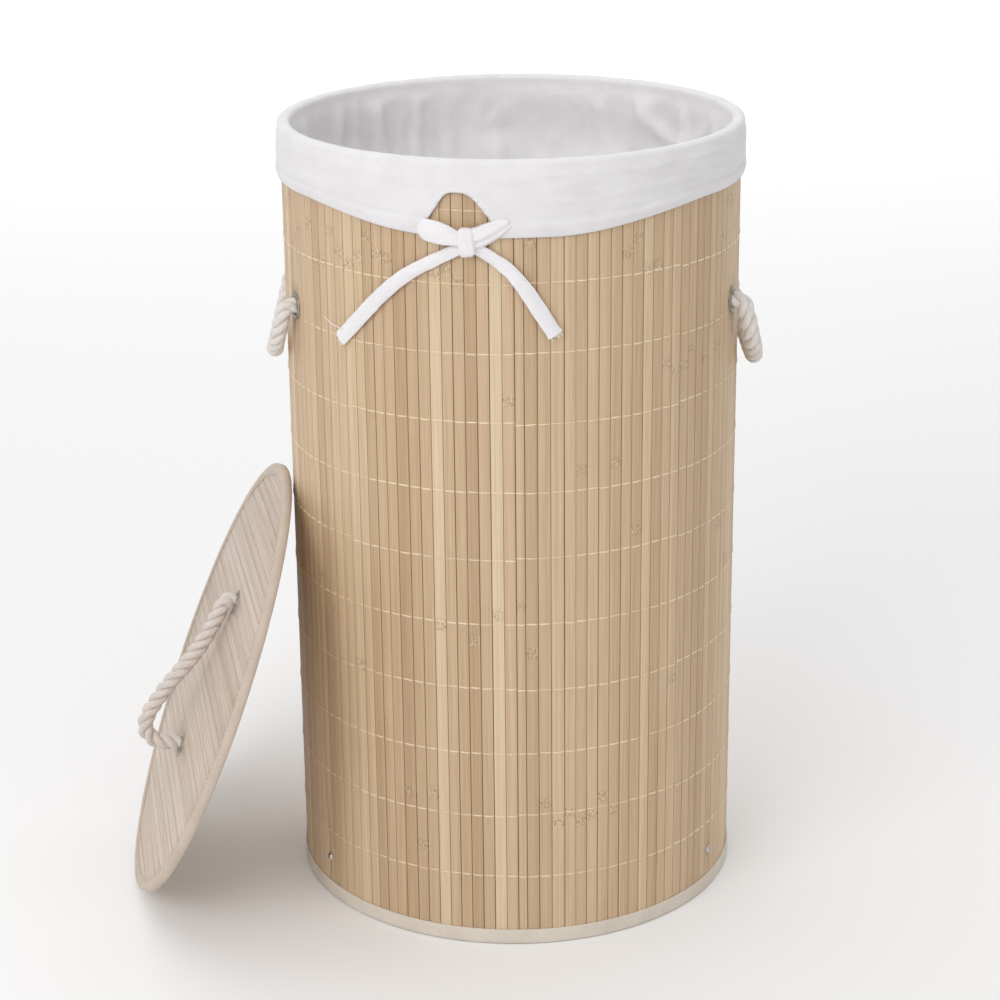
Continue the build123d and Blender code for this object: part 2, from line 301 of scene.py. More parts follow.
def wave(point, size, seed=0.0):  # soft noise from -1 to 1
    return noise.noise(Vector(point) / size + Vector((seed, 3.1 * seed, 7.7 * seed)))


def smooth(value, low, high):
    share = min(1.0, max(0.0, (value - low) / (high - low)))
    return share * share * (3 - 2 * share)


# lines that cords follow

def routeLine(name, points, resolution=24):
    curve = bpy.data.curves.new(name, "CURVE")
    curve.dimensions = "3D"
    curve.resolution_u = resolution
    spline = curve.splines.new("NURBS")
    spline.points.add(len(points) - 1)
    for spot, place in zip(spline.points, points):
        spot.co = (*place, 1.0)
    spline.order_u = 3
    spline.use_endpoint_u = True
    holder = newObject(name, curve)
    bpy.context.view_layer.update()
    mesh = bpy.data.meshes.new_from_object(holder)
    line = [spot.co.copy() for spot in mesh.vertices]
    bpy.data.objects.remove(holder)
    bpy.data.meshes.remove(mesh)
    return line


def lineLength(line):
    return sum((b - a).length for a, b in zip(line, line[1:]))


def evenLine(line, step):  # the same line with its points a fixed step apart
    total = lineLength(line)
    count = max(2, round(total / step))
    spaced, walked, target = [line[0]], 0.0, total / count
    for a, b in zip(line, line[1:]):
        span = (b - a).length
        while span > 0 and walked + span >= target - 1e-9 and len(spaced) < count:
            spaced.append(a.lerp(b, (target - walked) / span))
            target += total / count
        walked += span
    return spaced + [line[-1]]


def carried(line):  # each point with its direction and two side directions that don't twist
    stations, distance, side = [], 0.0, None
    for number, place in enumerate(line):
        before, after = line[max(0, number - 1)], line[min(len(line) - 1, number + 1)]
        ahead = (after - before).normalized()
        if side is None:
            side = ahead.orthogonal().normalized()
        side = (side - ahead * side.dot(ahead)).normalized()
        if number:
            distance += (place - line[number - 1]).length
        stations.append((place, ahead, side, ahead.cross(side), distance))
    return stations


def sweepRings(bm, stations, sides, ripple=None):
    turnLayer = bm.verts.layers.float.get("turn") or bm.verts.layers.float.new("turn")
    fibreLayer = bm.verts.layers.float_vector.get("fibre") or bm.verts.layers.float_vector.new("fibre")
    ring = bmesh.ops.create_circle(bm, segments=sides, radius=1.0)["verts"]
    rims = list({edge for spot in ring for edge in spot.link_edges})
    for spot in ring:
        spot[turnLayer] = math.atan2(spot.co.y, spot.co.x)
    for number, (place, side, up, halfWidth, halfDepth, distance) in enumerate(stations):
        if number:
            grown = bmesh.ops.extrude_edge_only(bm, edges=rims)["geom"]
            ring = [part for part in grown if isinstance(part, bmesh.types.BMVert)]
            fresh = set(ring)
            rims = [
                part
                for part in grown
                if isinstance(part, bmesh.types.BMEdge) and fresh.issuperset(part.verts)
            ]
        for spot in ring:
            turn = spot[turnLayer]
            swell = 1.0 + (ripple(turn, distance) if ripple else 0.0)
            spot.co = place + (side * math.cos(turn) * halfWidth + up * math.sin(turn) * halfDepth) * swell
            spot[fibreLayer] = (math.cos(turn), math.sin(turn), distance)


# colours and shader nodes

def tone(red, green, blue):  # a display colour from 0 to 255, as the shader wants it
    parts = [part / 255 for part in (red, green, blue)]
    return (*[p / 12.92 if p <= 0.04045 else ((p + 0.055) / 1.055) ** 2.4 for p in parts], 1.0)


def startMaterial(name):
    material = bpy.data.materials.new(name)
    material.use_nodes = True
    return material, material.node_tree, material.node_tree.nodes["Principled BSDF"]


def add(tree, kind, inputs=None, **settings):
    made = tree.nodes.new("ShaderNode" + kind)
    for key, value in settings.items():
        setattr(made, key, value)
    for key, value in (inputs or {}).items():
        if isinstance(value, bpy.types.NodeSocket):
            tree.links.new(value, made.inputs[key])
        else:
            made.inputs[key].default_value = value
    return made


def sums(tree, operation, *values):
    return add(tree, "Math", dict(enumerate(values)), operation=operation).outputs[0]


def mapped(tree, value, low, high, newLow=0.0, newHigh=1.0):  # smooth step between two values
    inputs = {"Value": value, "From Min": low, "From Max": high, "To Min": newLow, "To Max": newHigh}
    return add(tree, "MapRange", inputs, interpolation_type="SMOOTHSTEP").outputs["Result"]


def noiseAt(tree, vector, scale=1.0, detail=3.0, rough=0.5):
    inputs = {"Vector": vector, "Scale": scale, "Detail": detail, "Roughness": rough}
    return add(tree, "TexNoise", inputs).outputs["Fac"]


def mixed(tree, factor, first, second, blend="MIX"):
    inputs = {0: factor, 6: first, 7: second}
    return add(tree, "Mix", inputs, data_type="RGBA", blend_type=blend).outputs[2]


def ramp(tree, factor, stops):
    made = add(tree, "ValToRGB", {"Fac": factor})
    band = made.color_ramp
    while len(band.elements) < len(stops):
        band.elements.new(0.5)
    for element, (place, colour) in zip(band.elements, stops):
        element.position = place
        element.color = colour
    return made.outputs["Color"]


def bumped(tree, shader, height, strength, depth):
    made = add(tree, "Bump", {"Height": height, "Strength": strength, "Distance": depth})
    tree.links.new(made.outputs["Normal"], shader.inputs["Normal"])


def gathered(tree, x, y, z):
    return add(tree, "CombineXYZ", {0: x, 1: y, 2: z}).outputs[0]


def objectPlace(tree):
    return add(tree, "TexCoord").outputs["Object"]


def bambooMaterial(name, tones, grain, markTone):
    material, tree, shader = startMaterial(name)
    face = {key: add(tree, "Attribute", attribute_name=key).outputs["Fac"] for key in slatValues}
    across, along, _ = add(tree, "SeparateXYZ", {0: add(tree, "UVMap", uv_map="slatUV").outputs[0]}).outputs
    seed = sums(tree, "MULTIPLY", face["slatSeed"], 53.0)
    streak = noiseAt(tree, gathered(tree, sums(tree, "MULTIPLY", across, 420), sums(tree, "MULTIPLY", along, 2.6), seed))
    fine = noiseAt(
        tree, gathered(tree, sums(tree, "MULTIPLY", across, 2300), sums(tree, "MULTIPLY", along, 16), seed), detail=4.0
    )
    base = ramp(tree, face["slatTint"], [(number / (len(tones) - 1), colour) for number, colour in enumerate(tones)])
    streaked = mixed(tree, mapped(tree, streak, 0.35, 0.72, 0.0, grain["streak"]), base, grain["dark"], "MULTIPLY")
    grained = mixed(tree, mapped(tree, fine, 0.38, 0.66, 0.0, grain["fine"]), streaked, grain["dark"], "MULTIPLY")
    speckPlace = gathered(
        tree, sums(tree, "MULTIPLY", across, 1250), sums(tree, "MULTIPLY", along, 430), sums(tree, "ADD", seed, 5.0)
    )
    speck = noiseAt(tree, speckPlace, detail=4.5, rough=0.72)
    rings = None
    for key in ("markLow", "markHigh"):
        away = sums(tree, "ABSOLUTE", sums(tree, "SUBTRACT", along, face[key]))
        ring = mapped(tree, away, 0.0025, 0.0065, 1.0, 0.0)
        rings = ring if rings is None else sums(tree, "MAXIMUM", rings, ring)
    darkMark = sums(tree, "MULTIPLY", rings, mapped(tree, speck, 0.5, 0.6, 0.0, 0.62))
    paleMark = sums(tree, "MULTIPLY", rings, mapped(tree, speck, 0.48, 0.38, 0.0, 0.6))
    marked = mixed(tree, darkMark, grained, markTone)
    marked = mixed(tree, paleMark, marked, tones[-1])
    # painted shade: the colour darkens along each slat's long edges, standing in for the shade in the gaps between
    # slats
    edge = mapped(tree, sums(tree, "ABSOLUTE", across), 0.0038, 0.0043, 0.0, 0.3)
    wearAndShade = mixed(tree, edge, marked, grain["dark"], "MULTIPLY")
    tree.links.new(wearAndShade, shader.inputs["Base Color"])
    tree.links.new(mapped(tree, fine, 0.3, 0.7, 0.42, 0.62), shader.inputs["Roughness"])
    height = sums(tree, "ADD", sums(tree, "MULTIPLY", fine, 0.6), sums(tree, "MULTIPLY", sums(tree, "MULTIPLY", rings, speck), 1.2))
    bumped(tree, shader, height, 0.35, 0.0004)
    shader.inputs["Specular IOR Level"].default_value = 0.42
    return material


def clothMaterial(name, colour, shade, threadSize, uvName=None, weave=0.35, sheen=0.25):
    material, tree, shader = startMaterial(name)
    place = add(tree, "UVMap", uv_map=uvName).outputs[0] if uvName else objectPlace(tree)
    x, y, z = add(tree, "SeparateXYZ", {0: place}).outputs
    turnPerMetre = math.tau / threadSize
    first = x if uvName else sums(tree, "ADD", x, y)
    second = y if uvName else sums(tree, "ADD", z, sums(tree, "MULTIPLY", y, 0.31))
    warp = sums(tree, "SINE", sums(tree, "MULTIPLY", first, turnPerMetre))
    weft = sums(tree, "SINE", sums(tree, "MULTIPLY", second, turnPerMetre))
    slub = noiseAt(tree, gathered(tree, sums(tree, "MULTIPLY", first, 180), sums(tree, "MULTIPLY", second, 1500), z), detail=3.0)
    cloudy = noiseAt(tree, place, scale=38.0, detail=4.0, rough=0.6)
    weaveHeight = sums(tree, "MULTIPLY", warp, weft)
    soft = mixed(tree, mapped(tree, cloudy, 0.35, 0.7, 0.0, 0.5), colour, shade)
    threads = mixed(tree, mapped(tree, slub, 0.42, 0.66, 0.0, 0.35), soft, shade)
    tree.links.new(threads, shader.inputs["Base Color"])
    shader.inputs["Roughness"].default_value = 0.92
    shader.inputs["Sheen Weight"].default_value = sheen
    shader.inputs["Sheen Roughness"].default_value = 0.5
    shader.inputs["Specular IOR Level"].default_value = 0.2
    height = sums(tree, "ADD", sums(tree, "MULTIPLY", weaveHeight, 0.4), slub)
    bumped(tree, shader, height, weave, 0.0003)
    return material


def ropeMaterial(name, colour, shade):
    material, tree, shader = startMaterial(name)
    turnX, turnY, along = add(
        tree, "SeparateXYZ", {0: add(tree, "Attribute", attribute_name="fibre").outputs["Vector"]}
    ).outputs
    turn = sums(tree, "ARCTAN2", turnY, turnX)
    yarn = sums(tree, "SINE", sums(tree, "ADD", sums(tree, "MULTIPLY", turn, 7.0), sums(tree, "MULTIPLY", along, 900.0)))
    hairs = noiseAt(
        tree,
        gathered(tree, sums(tree, "MULTIPLY", turnX, 9.0), sums(tree, "MULTIPLY", turnY, 9.0), sums(tree, "MULTIPLY", along, 220.0)),
        detail=5.0,
        rough=0.65,
    )
    cloudy = noiseAt(tree, objectPlace(tree), scale=160.0, detail=3.0)
    shaded = mixed(tree, mapped(tree, hairs, 0.42, 0.7, 0.0, 0.55), colour, shade)
    shaded = mixed(tree, mapped(tree, cloudy, 0.4, 0.7, 0.0, 0.3), shaded, shade)
    tree.links.new(shaded, shader.inputs["Base Color"])
    shader.inputs["Roughness"].default_value = 0.9
    shader.inputs["Sheen Weight"].default_value = 0.35
    shader.inputs["Specular IOR Level"].default_value = 0.2
    bumped(tree, shader, sums(tree, "ADD", sums(tree, "MULTIPLY", yarn, 0.35), hairs), 0.55, 0.0006)
    return material


def boardMaterial(name, colour, shade):  # pressed wood fibre
    material, tree, shader = startMaterial(name)
    place = objectPlace(tree)
    chips = noiseAt(tree, place, scale=520.0, detail=6.0, rough=0.7)
    cloudy = noiseAt(tree, place, scale=26.0, detail=3.0)
    base = mixed(tree, mapped(tree, cloudy, 0.35, 0.7, 0.0, 0.5), colour, shade)
    tree.links.new(mixed(tree, mapped(tree, chips, 0.45, 0.62, 0.0, 0.5), base, shade), shader.inputs["Base Color"])
    shader.inputs["Roughness"].default_value = 0.75
    bumped(tree, shader, chips, 0.3, 0.0003)
    return material


def hoopMaterial(name, colour, shade):  # bent strip wood, its grain running round the hoop
    material, tree, shader = startMaterial(name)
    x, y, z = add(tree, "SeparateXYZ", {0: objectPlace(tree)}).outputs
    turn = sums(tree, "ARCTAN2", y, x)
    grainPlace = gathered(tree, sums(tree, "COSINE", turn), sums(tree, "SINE", turn), sums(tree, "MULTIPLY", z, 900.0))
    grain = noiseAt(tree, grainPlace, scale=2.0, detail=6.0, rough=0.6)
    tree.links.new(mixed(tree, mapped(tree, grain, 0.35, 0.68, 0.0, 0.8), colour, shade), shader.inputs["Base Color"])
    shader.inputs["Roughness"].default_value = 0.6
    bumped(tree, shader, grain, 0.25, 0.0003)
    return material


def metalMaterial(name, colour, shade, rough):
    material, tree, shader = startMaterial(name)
    place = objectPlace(tree)
    wearAndShade = noiseAt(tree, place, scale=700.0, detail=5.0, rough=0.6)
    cloudy = noiseAt(tree, place, scale=140.0, detail=3.0)
    tree.links.new(mixed(tree, mapped(tree, cloudy, 0.35, 0.7, 0.0, 0.8), colour, shade), shader.inputs["Base Color"])
    tree.links.new(mapped(tree, wearAndShade, 0.3, 0.7, rough - 0.08, rough + 0.12), shader.inputs["Roughness"])
    shader.inputs["Metallic"].default_value = 1.0
    bumped(tree, shader, wearAndShade, 0.12, 0.0002)
    return material


def threadMaterial(name, colour, shade):  # fine waxed thread, a little shiny
    material, tree, shader = startMaterial(name)
    twist = noiseAt(tree, objectPlace(tree), scale=1600.0, detail=3.0, rough=0.6)
    patchy = noiseAt(tree, objectPlace(tree), scale=30.0, detail=2.0)
    base = mixed(tree, mapped(tree, patchy, 0.35, 0.68, 0.0, 0.8), colour, shade)
    tree.links.new(mixed(tree, mapped(tree, twist, 0.4, 0.7, 0.0, 0.4), base, shade), shader.inputs["Base Color"])
    tree.links.new(mapped(tree, twist, 0.3, 0.7, 0.22, 0.4), shader.inputs["Roughness"])
    shader.inputs["Specular IOR Level"].default_value = 0.9
    bumped(tree, shader, twist, 0.2, 0.0002)
    return material


slatValues = ("slatTint", "slatSeed", "markLow", "markHigh")
bambooTones = [
    tone(192, 164, 131), tone(204, 177, 145), tone(212, 186, 154), tone(219, 194, 162), tone(230, 210, 180)
]
lidTones = [
    tone(196, 179, 163), tone(206, 190, 175), tone(212, 197, 183), tone(217, 203, 189), tone(224, 211, 198)
]
materials = {
    "bamboo": bambooMaterial(
        "wallBamboo", bambooTones, {"streak": 0.38, "fine": 0.4, "dark": tone(222, 210, 197)}, tone(128, 95, 68)
    ),
    "lidBamboo": bambooMaterial(
        "lidBamboo", lidTones, {"streak": 0.75, "fine": 0.35, "dark": tone(224, 212, 202)}, tone(150, 124, 102)
    ),
    "cotton": clothMaterial("whiteCotton", tone(234, 232, 234), tone(223, 220, 222), 0.9 * mm, "clothUV"),
    "tape": clothMaterial("cottonTape", tone(241, 238, 240), tone(228, 225, 228), 0.8 * mm),
    "edgeCloth": clothMaterial("edgeCloth", tone(226, 217, 204), tone(208, 197, 182), 0.9 * mm, weave=0.5, sheen=0.1),
    "lidTape": clothMaterial("lidTapeCloth", tone(209, 193, 178), tone(194, 177, 161), 0.9 * mm, weave=0.5, sheen=0.1),
    "backing": clothMaterial("backingCloth", tone(190, 168, 140), tone(166, 144, 116), 1.1 * mm, weave=0.6, sheen=0.05),
    "rope": ropeMaterial("cottonRope", tone(235, 229, 224), tone(209, 200, 194)),
    "lidRope": ropeMaterial("lidRopeCotton", tone(228, 219, 212), tone(201, 190, 181)),
    # the wall thread's pale cream is partly its own colour and partly painted sheen: the clear thread's bright
    # reflections given as its colour
    "thread": threadMaterial("wallThread", tone(240, 218, 186), tone(214, 187, 153)),
    "stitch": threadMaterial("whiteStitch", tone(240, 237, 238), tone(226, 222, 223)),
    "lidStitch": threadMaterial("lidStitch", tone(168, 149, 132), tone(150, 131, 114)),
    "board": boardMaterial("pressedBoard", tone(176, 146, 112), tone(146, 116, 84)),
    "hoop": hoopMaterial("hoopWood", tone(206, 178, 140), tone(176, 144, 104)),
    "eyelet": metalMaterial("eyeletMetal", (0.42, 0.39, 0.32, 1), (0.28, 0.26, 0.2, 1), 0.34),
    "screw": metalMaterial("screwMetal", (0.62, 0.6, 0.57, 1), (0.48, 0.46, 0.43, 1), 0.28),
}
print("materials made:", len(materials))


# studio: camera, lights and floor

studio = {
    "cameraPlace": (-0.05, -1.8489, 0.9505),
    "cameraHeading": -0.0212,
    "cameraPitch": 0.3396,
    "cameraRoll": -0.0103,
    "lens": 89.82,
    "worldColour": (1.0, 1.0, 1.0, 1.0),
    "worldStrength": 0.55,
    "floorColour": (0.93, 0.93, 0.935, 1.0),
}
lightBoxes = [  # name, place, point it looks at, width, height, watts
    ("softboxLeft", (-1.35, -2.1, 1.75), (0.0, 0.0, 0.35), 1.9, 1.3, 26.0),
    ("softboxRight", (1.55, -1.9, 1.7), (0.0, 0.0, 0.35), 1.7, 1.2, 5.0),
    ("softboxTop", (-0.3, -0.2, 2.6), (0.0, 0.0, 0.35), 2.2, 2.2, 14.0),
    ("backdropLight", (0.0, 5.2, 2.6), (0.0, 5.2, 0.0), 11.0, 6.0, 190.0),
]


def makeStudio():
    camera = bpy.data.cameras.new("studioCamera")
    camera.lens = studio["lens"]
    camera.sensor_width = 36.0
    holder = newObject("studioCamera", camera)
    turn = (
        Matrix.Rotation(studio["cameraHeading"], 4, "Z")
        @ Matrix.Rotation(math.pi / 2 - studio["cameraPitch"], 4, "X")
        @ Matrix.Rotation(studio["cameraRoll"], 4, "Z")
    )
    holder.matrix_world = Matrix.Translation(studio["cameraPlace"]) @ turn
    scene.camera = holder
    for name, place, looksAt, width, height, watts in lightBoxes:
        light = bpy.data.lights.new(name, "AREA")
        light.shape = "RECTANGLE"
        light.size, light.size_y, light.energy = width, height, watts
        lamp = newObject(name, light)
        aim = Vector(looksAt) - Vector(place)
        lamp.matrix_world = Matrix.Translation(place) @ aim.to_track_quat("-Z", "Y").to_matrix().to_4x4()
    world = bpy.data.worlds.new("studioWorld")
    world.use_nodes = True
    world.node_tree.nodes["Background"].inputs[0].default_value = studio["worldColour"]
    world.node_tree.nodes["Background"].inputs[1].default_value = studio["worldStrength"]
    scene.world = world
    bm = bmesh.new()
    bmesh.ops.create_grid(bm, x_segments=8, y_segments=8, size=9.0, matrix=Matrix.Translation((0, 0, -0.4 * mm)))
    material, tree, shader = startMaterial("studioFloor")
    shader.inputs["Base Color"].default_value = studio["floorColour"]
    shader.inputs["Roughness"].default_value = 0.9
    floor = asPiece(bm, "studioFloor", material=material)
    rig.stage(floor)


makeStudio()
print("studio ready")


# side ropes: one rope from knot to knot through two eyelets, bending at the eyelets

ropes = {
    "diameter": 13 * mm,
    "lay": 31 * mm,  # one whole turn of the three strands
    "strandRadius": 3.15 * mm,
    "strandOffset": 3.4 * mm,
    "step": 1.7 * mm,
    "sides": 16,
    "lean": math.radians(14),
    "stubInner": 161 * mm,  # the rope enters its knot here, from the hamper's axis
    "stubOuter": 174 * mm,
    "bendStart": -4 * mm,
    "bendEnd": 8 * mm,
    "holeHalfAngle": math.radians(20),
    "knotDepth": 19 * mm,
    "knotRadius": 12.5 * mm,
    "knotRope": 4.1 * mm,
    "knotFace": 168.3 * mm,  # the knots stop here, from the hamper's axis
}
swingX = joints["right_rope_swing"]["pos_m"][0]
swingHeight = joints["right_rope_swing"]["pos_m"][2]
swingY = swingX * math.tan(ropes["holeHalfAngle"])

# each loop's route: along the wall and down the leaning plane that it hangs in, in millimetres
loopRoutes = {
    "right": [(-62.5, 15.5), (-57, 31), (-45, 45), (-28, 54.5), (-8, 58.5), (13, 56.5), (32, 49), (47, 36.5), (57.5, 19.5)],
    "left": [(-61, 13), (-53.5, 27), (-40, 38), (-22, 44.5), (-1, 46.5), (20, 43.5), (38, 35.5), (52.5, 22), (59.5, 9)],
}


def yarnRipple(turn, distance):
    return 0.045 * math.cos(6 * turn + distance * math.tau / (11 * mm))


def layStrands(bm, line, strandRadius, strandOffset, lay, step, sides):
    stations = carried(evenLine(line, step))
    for strand in range(3):
        centre = []
        for place, ahead, side, up, distance in stations:
            turn = math.tau * (distance / lay + strand / 3)
            centre.append(place + (side * math.cos(turn) + up * math.sin(turn)) * strandOffset)
        rings = [
            (place, side, up, strandRadius, strandRadius * 0.94, distance)
            for place, ahead, side, up, distance in carried(centre)
        ]
        sweepRings(bm, rings, sides, yarnRipple)
    closeEnds(bm)


def knotLine(place, radius, depth):  # an over-and-under knot round the place's own Z
    points = []
    for number in range(73):
        turn = math.tau * number / 72
        flat = Vector((math.sin(turn) + 2 * math.sin(2 * turn), math.cos(turn) - 2 * math.cos(2 * turn), 0))
        points.append(place @ (flat * radius / 3 + Vector((0, 0, -math.sin(3 * turn) * depth))))
    return points


def makeKnots(name, places, depth, body, replaced, material):
    bm = bmesh.new()
    for place in places:
        line = knotLine(place, ropes["knotRadius"] - ropes["knotRope"] - 0.2 * mm, depth / 2 - ropes["knotRope"] - 0.2 * mm)
        thin = ropes["knotRope"] / (ropes["diameter"] / 2)
        layStrands(bm, line, ropes["strandRadius"] * thin, ropes["strandOffset"] * thin, 22 * mm, 2.2 * mm, 10)
    piece = asPiece(bm, name, body, material)
    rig.replaces(piece, replaced)
    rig.slot(piece, "rope")
    return piece


def makeSideRope(side):
    way = 1 if side == "right" else -1

    def outAt(turn, radius):
        return Vector((way * radius * math.cos(turn), radius * math.sin(turn), swingHeight))

    def onLoop(along, down):
        reach = swingX + down * mm * math.sin(ropes["lean"])
        return Vector((way * reach, along * mm, swingHeight - down * mm * math.cos(ropes["lean"])))

    half = ropes["holeHalfAngle"]
    ends = [outAt(-half, ropes["stubInner"]), outAt(-half, ropes["stubOuter"]), onLoop(-swingY / mm, 0)]
    finish = [onLoop(swingY / mm, 0), outAt(half, ropes["stubOuter"]), outAt(half, ropes["stubInner"])]
    points = ends + [onLoop(along, down) for along, down in loopRoutes[side]] + finish
    line = routeLine("sideRopeRoute", points)
    bm = bmesh.new()
    layStrands(bm, line, ropes["strandRadius"], ropes["strandOffset"], ropes["lay"], ropes["step"], ropes["sides"])
    piece = asPiece(bm, f"{side}Rope", material=materials["rope"])
    towards = Vector((way * math.sqrt(0.5), 0, -math.sqrt(0.5)))
    swing = Vector((way * swingX, 0, swingHeight))
    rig.blend(
        piece, "hamper", f"{side}_handle", start=swing + towards * ropes["bendStart"], end=swing + towards * ropes["bendEnd"]
    )
    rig.replaces(piece, f"rope_loop_{side}")
    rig.slot(piece, "rope")
    knotMiddle = ropes["knotFace"] - ropes["knotDepth"] / 2
    places = [
        Matrix.Translation(outAt(turn, knotMiddle)) @ outAt(turn, 1.0).xy.to_3d().to_track_quat("Z", "Y").to_matrix().to_4x4()
        for turn in (-half, half)
    ]
    knots = makeKnots(f"{side}RopeKnots", places, ropes["knotDepth"], "hamper", f"rope_ends_{side}", materials["rope"])
    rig.cord(
        piece,
        exit=ends[1],
        length=lineLength(line),
        diameter=ropes["diameter"],
        far_end="object",
        stiffness="limp",
        lay="hanging",
        path=evenLine(line, 4 * mm),
        with_pieces=[knots],
    )
    print(side, "rope", round(lineLength(line) / mm, 1), "mm")


# lid: its own frame, with Z out of the slatted face and Y up the slope

lid = {
    "radius": 176 * mm,
    "boardBack": 1.1 * mm,
    "face": 5.9 * mm,
    "tapeRise": 0.6 * mm,
    "slatDepth": 1.6 * mm,
    "slatPitch": 9.0 * mm,
    "slatGap": 0.25 * mm,
    "slatTurn": math.radians(6),
    "holeHalf": 64.5 * mm,
    "knotDepth": 14 * mm,
}
slopeUp = Vector(joints["lid_rope_flop"]["axis"]).normalized()
lidAway = Vector((-slopeUp.x, -slopeUp.y, 0)).normalized()
lidAcross = Vector((-lidAway.y, lidAway.x, 0))
lidNormal = lidAcross.cross(slopeUp)
lidCentre = sum(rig.box("lid_board"), Vector()) / 2 - lidNormal * 2.7 * mm
lidSwing = (Vector(joints["lid_rope_flop"]["pos_m"]) - lidCentre).dot(lidNormal)
lidPlace = Matrix.Translation(lidCentre) @ Matrix((lidAcross, slopeUp, lidNormal)).transposed().to_4x4()

lidRopeRoute = [(46, 1), (26, 4), (7, 9), (-12, 16), (-30, 21.5), (-47, 25), (-60, 24), (-67.5, 13.5)]  # up the slope, out


def makeLidRope():
    half = lid["holeHalf"] / mm
    inner, outer = -2.0, lid["face"] / mm + 1.5
    spots = [(half, inner), (half, outer), (half, lidSwing / mm)]
    spots += [(up, lidSwing / mm + out) for up, out in lidRopeRoute]
    spots += [(-half, lidSwing / mm), (-half, outer), (-half, inner)]
    line = routeLine("lidRopeRoute", [lidPlace @ Vector((0, up * mm, out * mm)) for up, out in spots])
    bm = bmesh.new()
    layStrands(bm, line, ropes["strandRadius"], ropes["strandOffset"], ropes["lay"], ropes["step"], ropes["sides"])
    piece = asPiece(bm, "lidRope", material=materials["lidRope"])
    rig.blend(
        piece,
        "lid",
        "lid_handle",
        start=lidPlace @ Vector((0, 0, lid["face"])),
        end=lidPlace @ Vector((0, 0, lidSwing - 1 * mm)),
    )
    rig.replaces(piece, "lid_rope_loop")
    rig.slot(piece, "rope")
    places = [
        lidPlace @ Matrix.Translation((0, way * lid["holeHalf"], -0.3 * mm - lid["knotDepth"] / 2)) for way in (-1, 1)
    ]
    knots = makeKnots("lidRopeKnots", places, lid["knotDepth"], "lid", "lid_rope_ends", materials["lidRope"])
    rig.cord(
        piece,
        exit=lidPlace @ Vector((0, lid["holeHalf"], outer * mm)),
        length=lineLength(line),
        diameter=ropes["diameter"],
        far_end="object",
        stiffness="limp",
        lay="loose",
        path=evenLine(line, 4 * mm),
        with_pieces=[knots],
    )
    print("lid rope", round(lineLength(line) / mm, 1), "mm")


makeSideRope("right")
makeSideRope("left")
makeLidRope()


# tie: a bow of cotton tape at the front of the cuff

tieMiddle = sum(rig.box("tie_knot"), Vector()) / 2
tie = {
    "bearing": math.atan2(tieMiddle.y, tieMiddle.x),
    "height": tieMiddle.z + 1 * mm,
    "reach": 173.25 * mm,  # the wall's clear line, from the axis
    "tailWidth": 10 * mm,
    "tailLift": 2.1 * mm,
    "tailHalfDepth": 1.3 * mm,
    "tailSides": 20,
}
# each tail: along the cuff from the knot, and up from it, in millimetres
tailRoutes = {
    "Left": [(-5, -6), (-26, -16.5), (-48, -29), (-70, -48.5), (-89, -68), (-105, -83)],
    "Right": [(6, -6), (25, -17), (38.5, -33.5), (49.5, -51.5), (60, -68.5)],
}


def onCuff(along, rise, out):
    bearing = tie["bearing"] + along * mm / tie["reach"]
    radius = tie["reach"] + out
    return Vector((radius * math.cos(bearing), radius * math.sin(bearing), tie["height"] + rise * mm))


def fromAxis(place):
    return Vector((place.x, place.y, 0)).normalized()


def makeTail(side):
    points = [onCuff(along, rise, tie["tailLift"]) for along, rise in tailRoutes[side]]
    line = routeLine(f"tail{side}Route", points)
    total = lineLength(line)
    stations = []
    for place, ahead, _, _, distance in carried(evenLine(line, 1.5 * mm)):
        outwards = fromAxis(place)
        side2 = ahead.cross(outwards).normalized()
        share = distance / total
        halfWidth = tie["tailWidth"] / 2 * (0.84 + 0.26 * smooth(share, 0, 0.8))
        halfWidth *= 1 + 0.05 * wave((distance, 0, 0), 9 * mm, 2.0)
        sway = outwards * 0.35 * mm * wave((distance, 0, 0), 14 * mm, 5.0)
        stations.append((place + sway, side2, outwards, halfWidth, tie["tailHalfDepth"], distance))

    def creases(turn, distance):  # soft lengthwise rolls in the folded tape
        return 0.10 * math.cos(4 * turn + 3 * wave((distance, 0, 0), 20 * mm, 1.0)) - 0.05 * math.cos(2 * turn)

    bm = bmesh.new()
    sweepRings(bm, stations, tie["tailSides"], creases)
    closeEnds(bm)
    piece = asPiece(bm, f"tieTail{side}", "liner", materials["tape"], sharpAngle=60)
    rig.replaces(piece, f"tie_tail_{side.lower()}")
    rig.slot(piece, "cotton")
    frayed = makeFrays(side, stations[-1])
    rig.cord(
        piece,
        exit=points[0],
        length=total,
        diameter=tie["tailWidth"],
        far_end="bare",
        stiffness="limp",
        lay="hanging",
        path=evenLine(line, 4 * mm),
        with_pieces=[frayed],
    )
    print("tie tail", side, round(total / mm, 1), "mm")


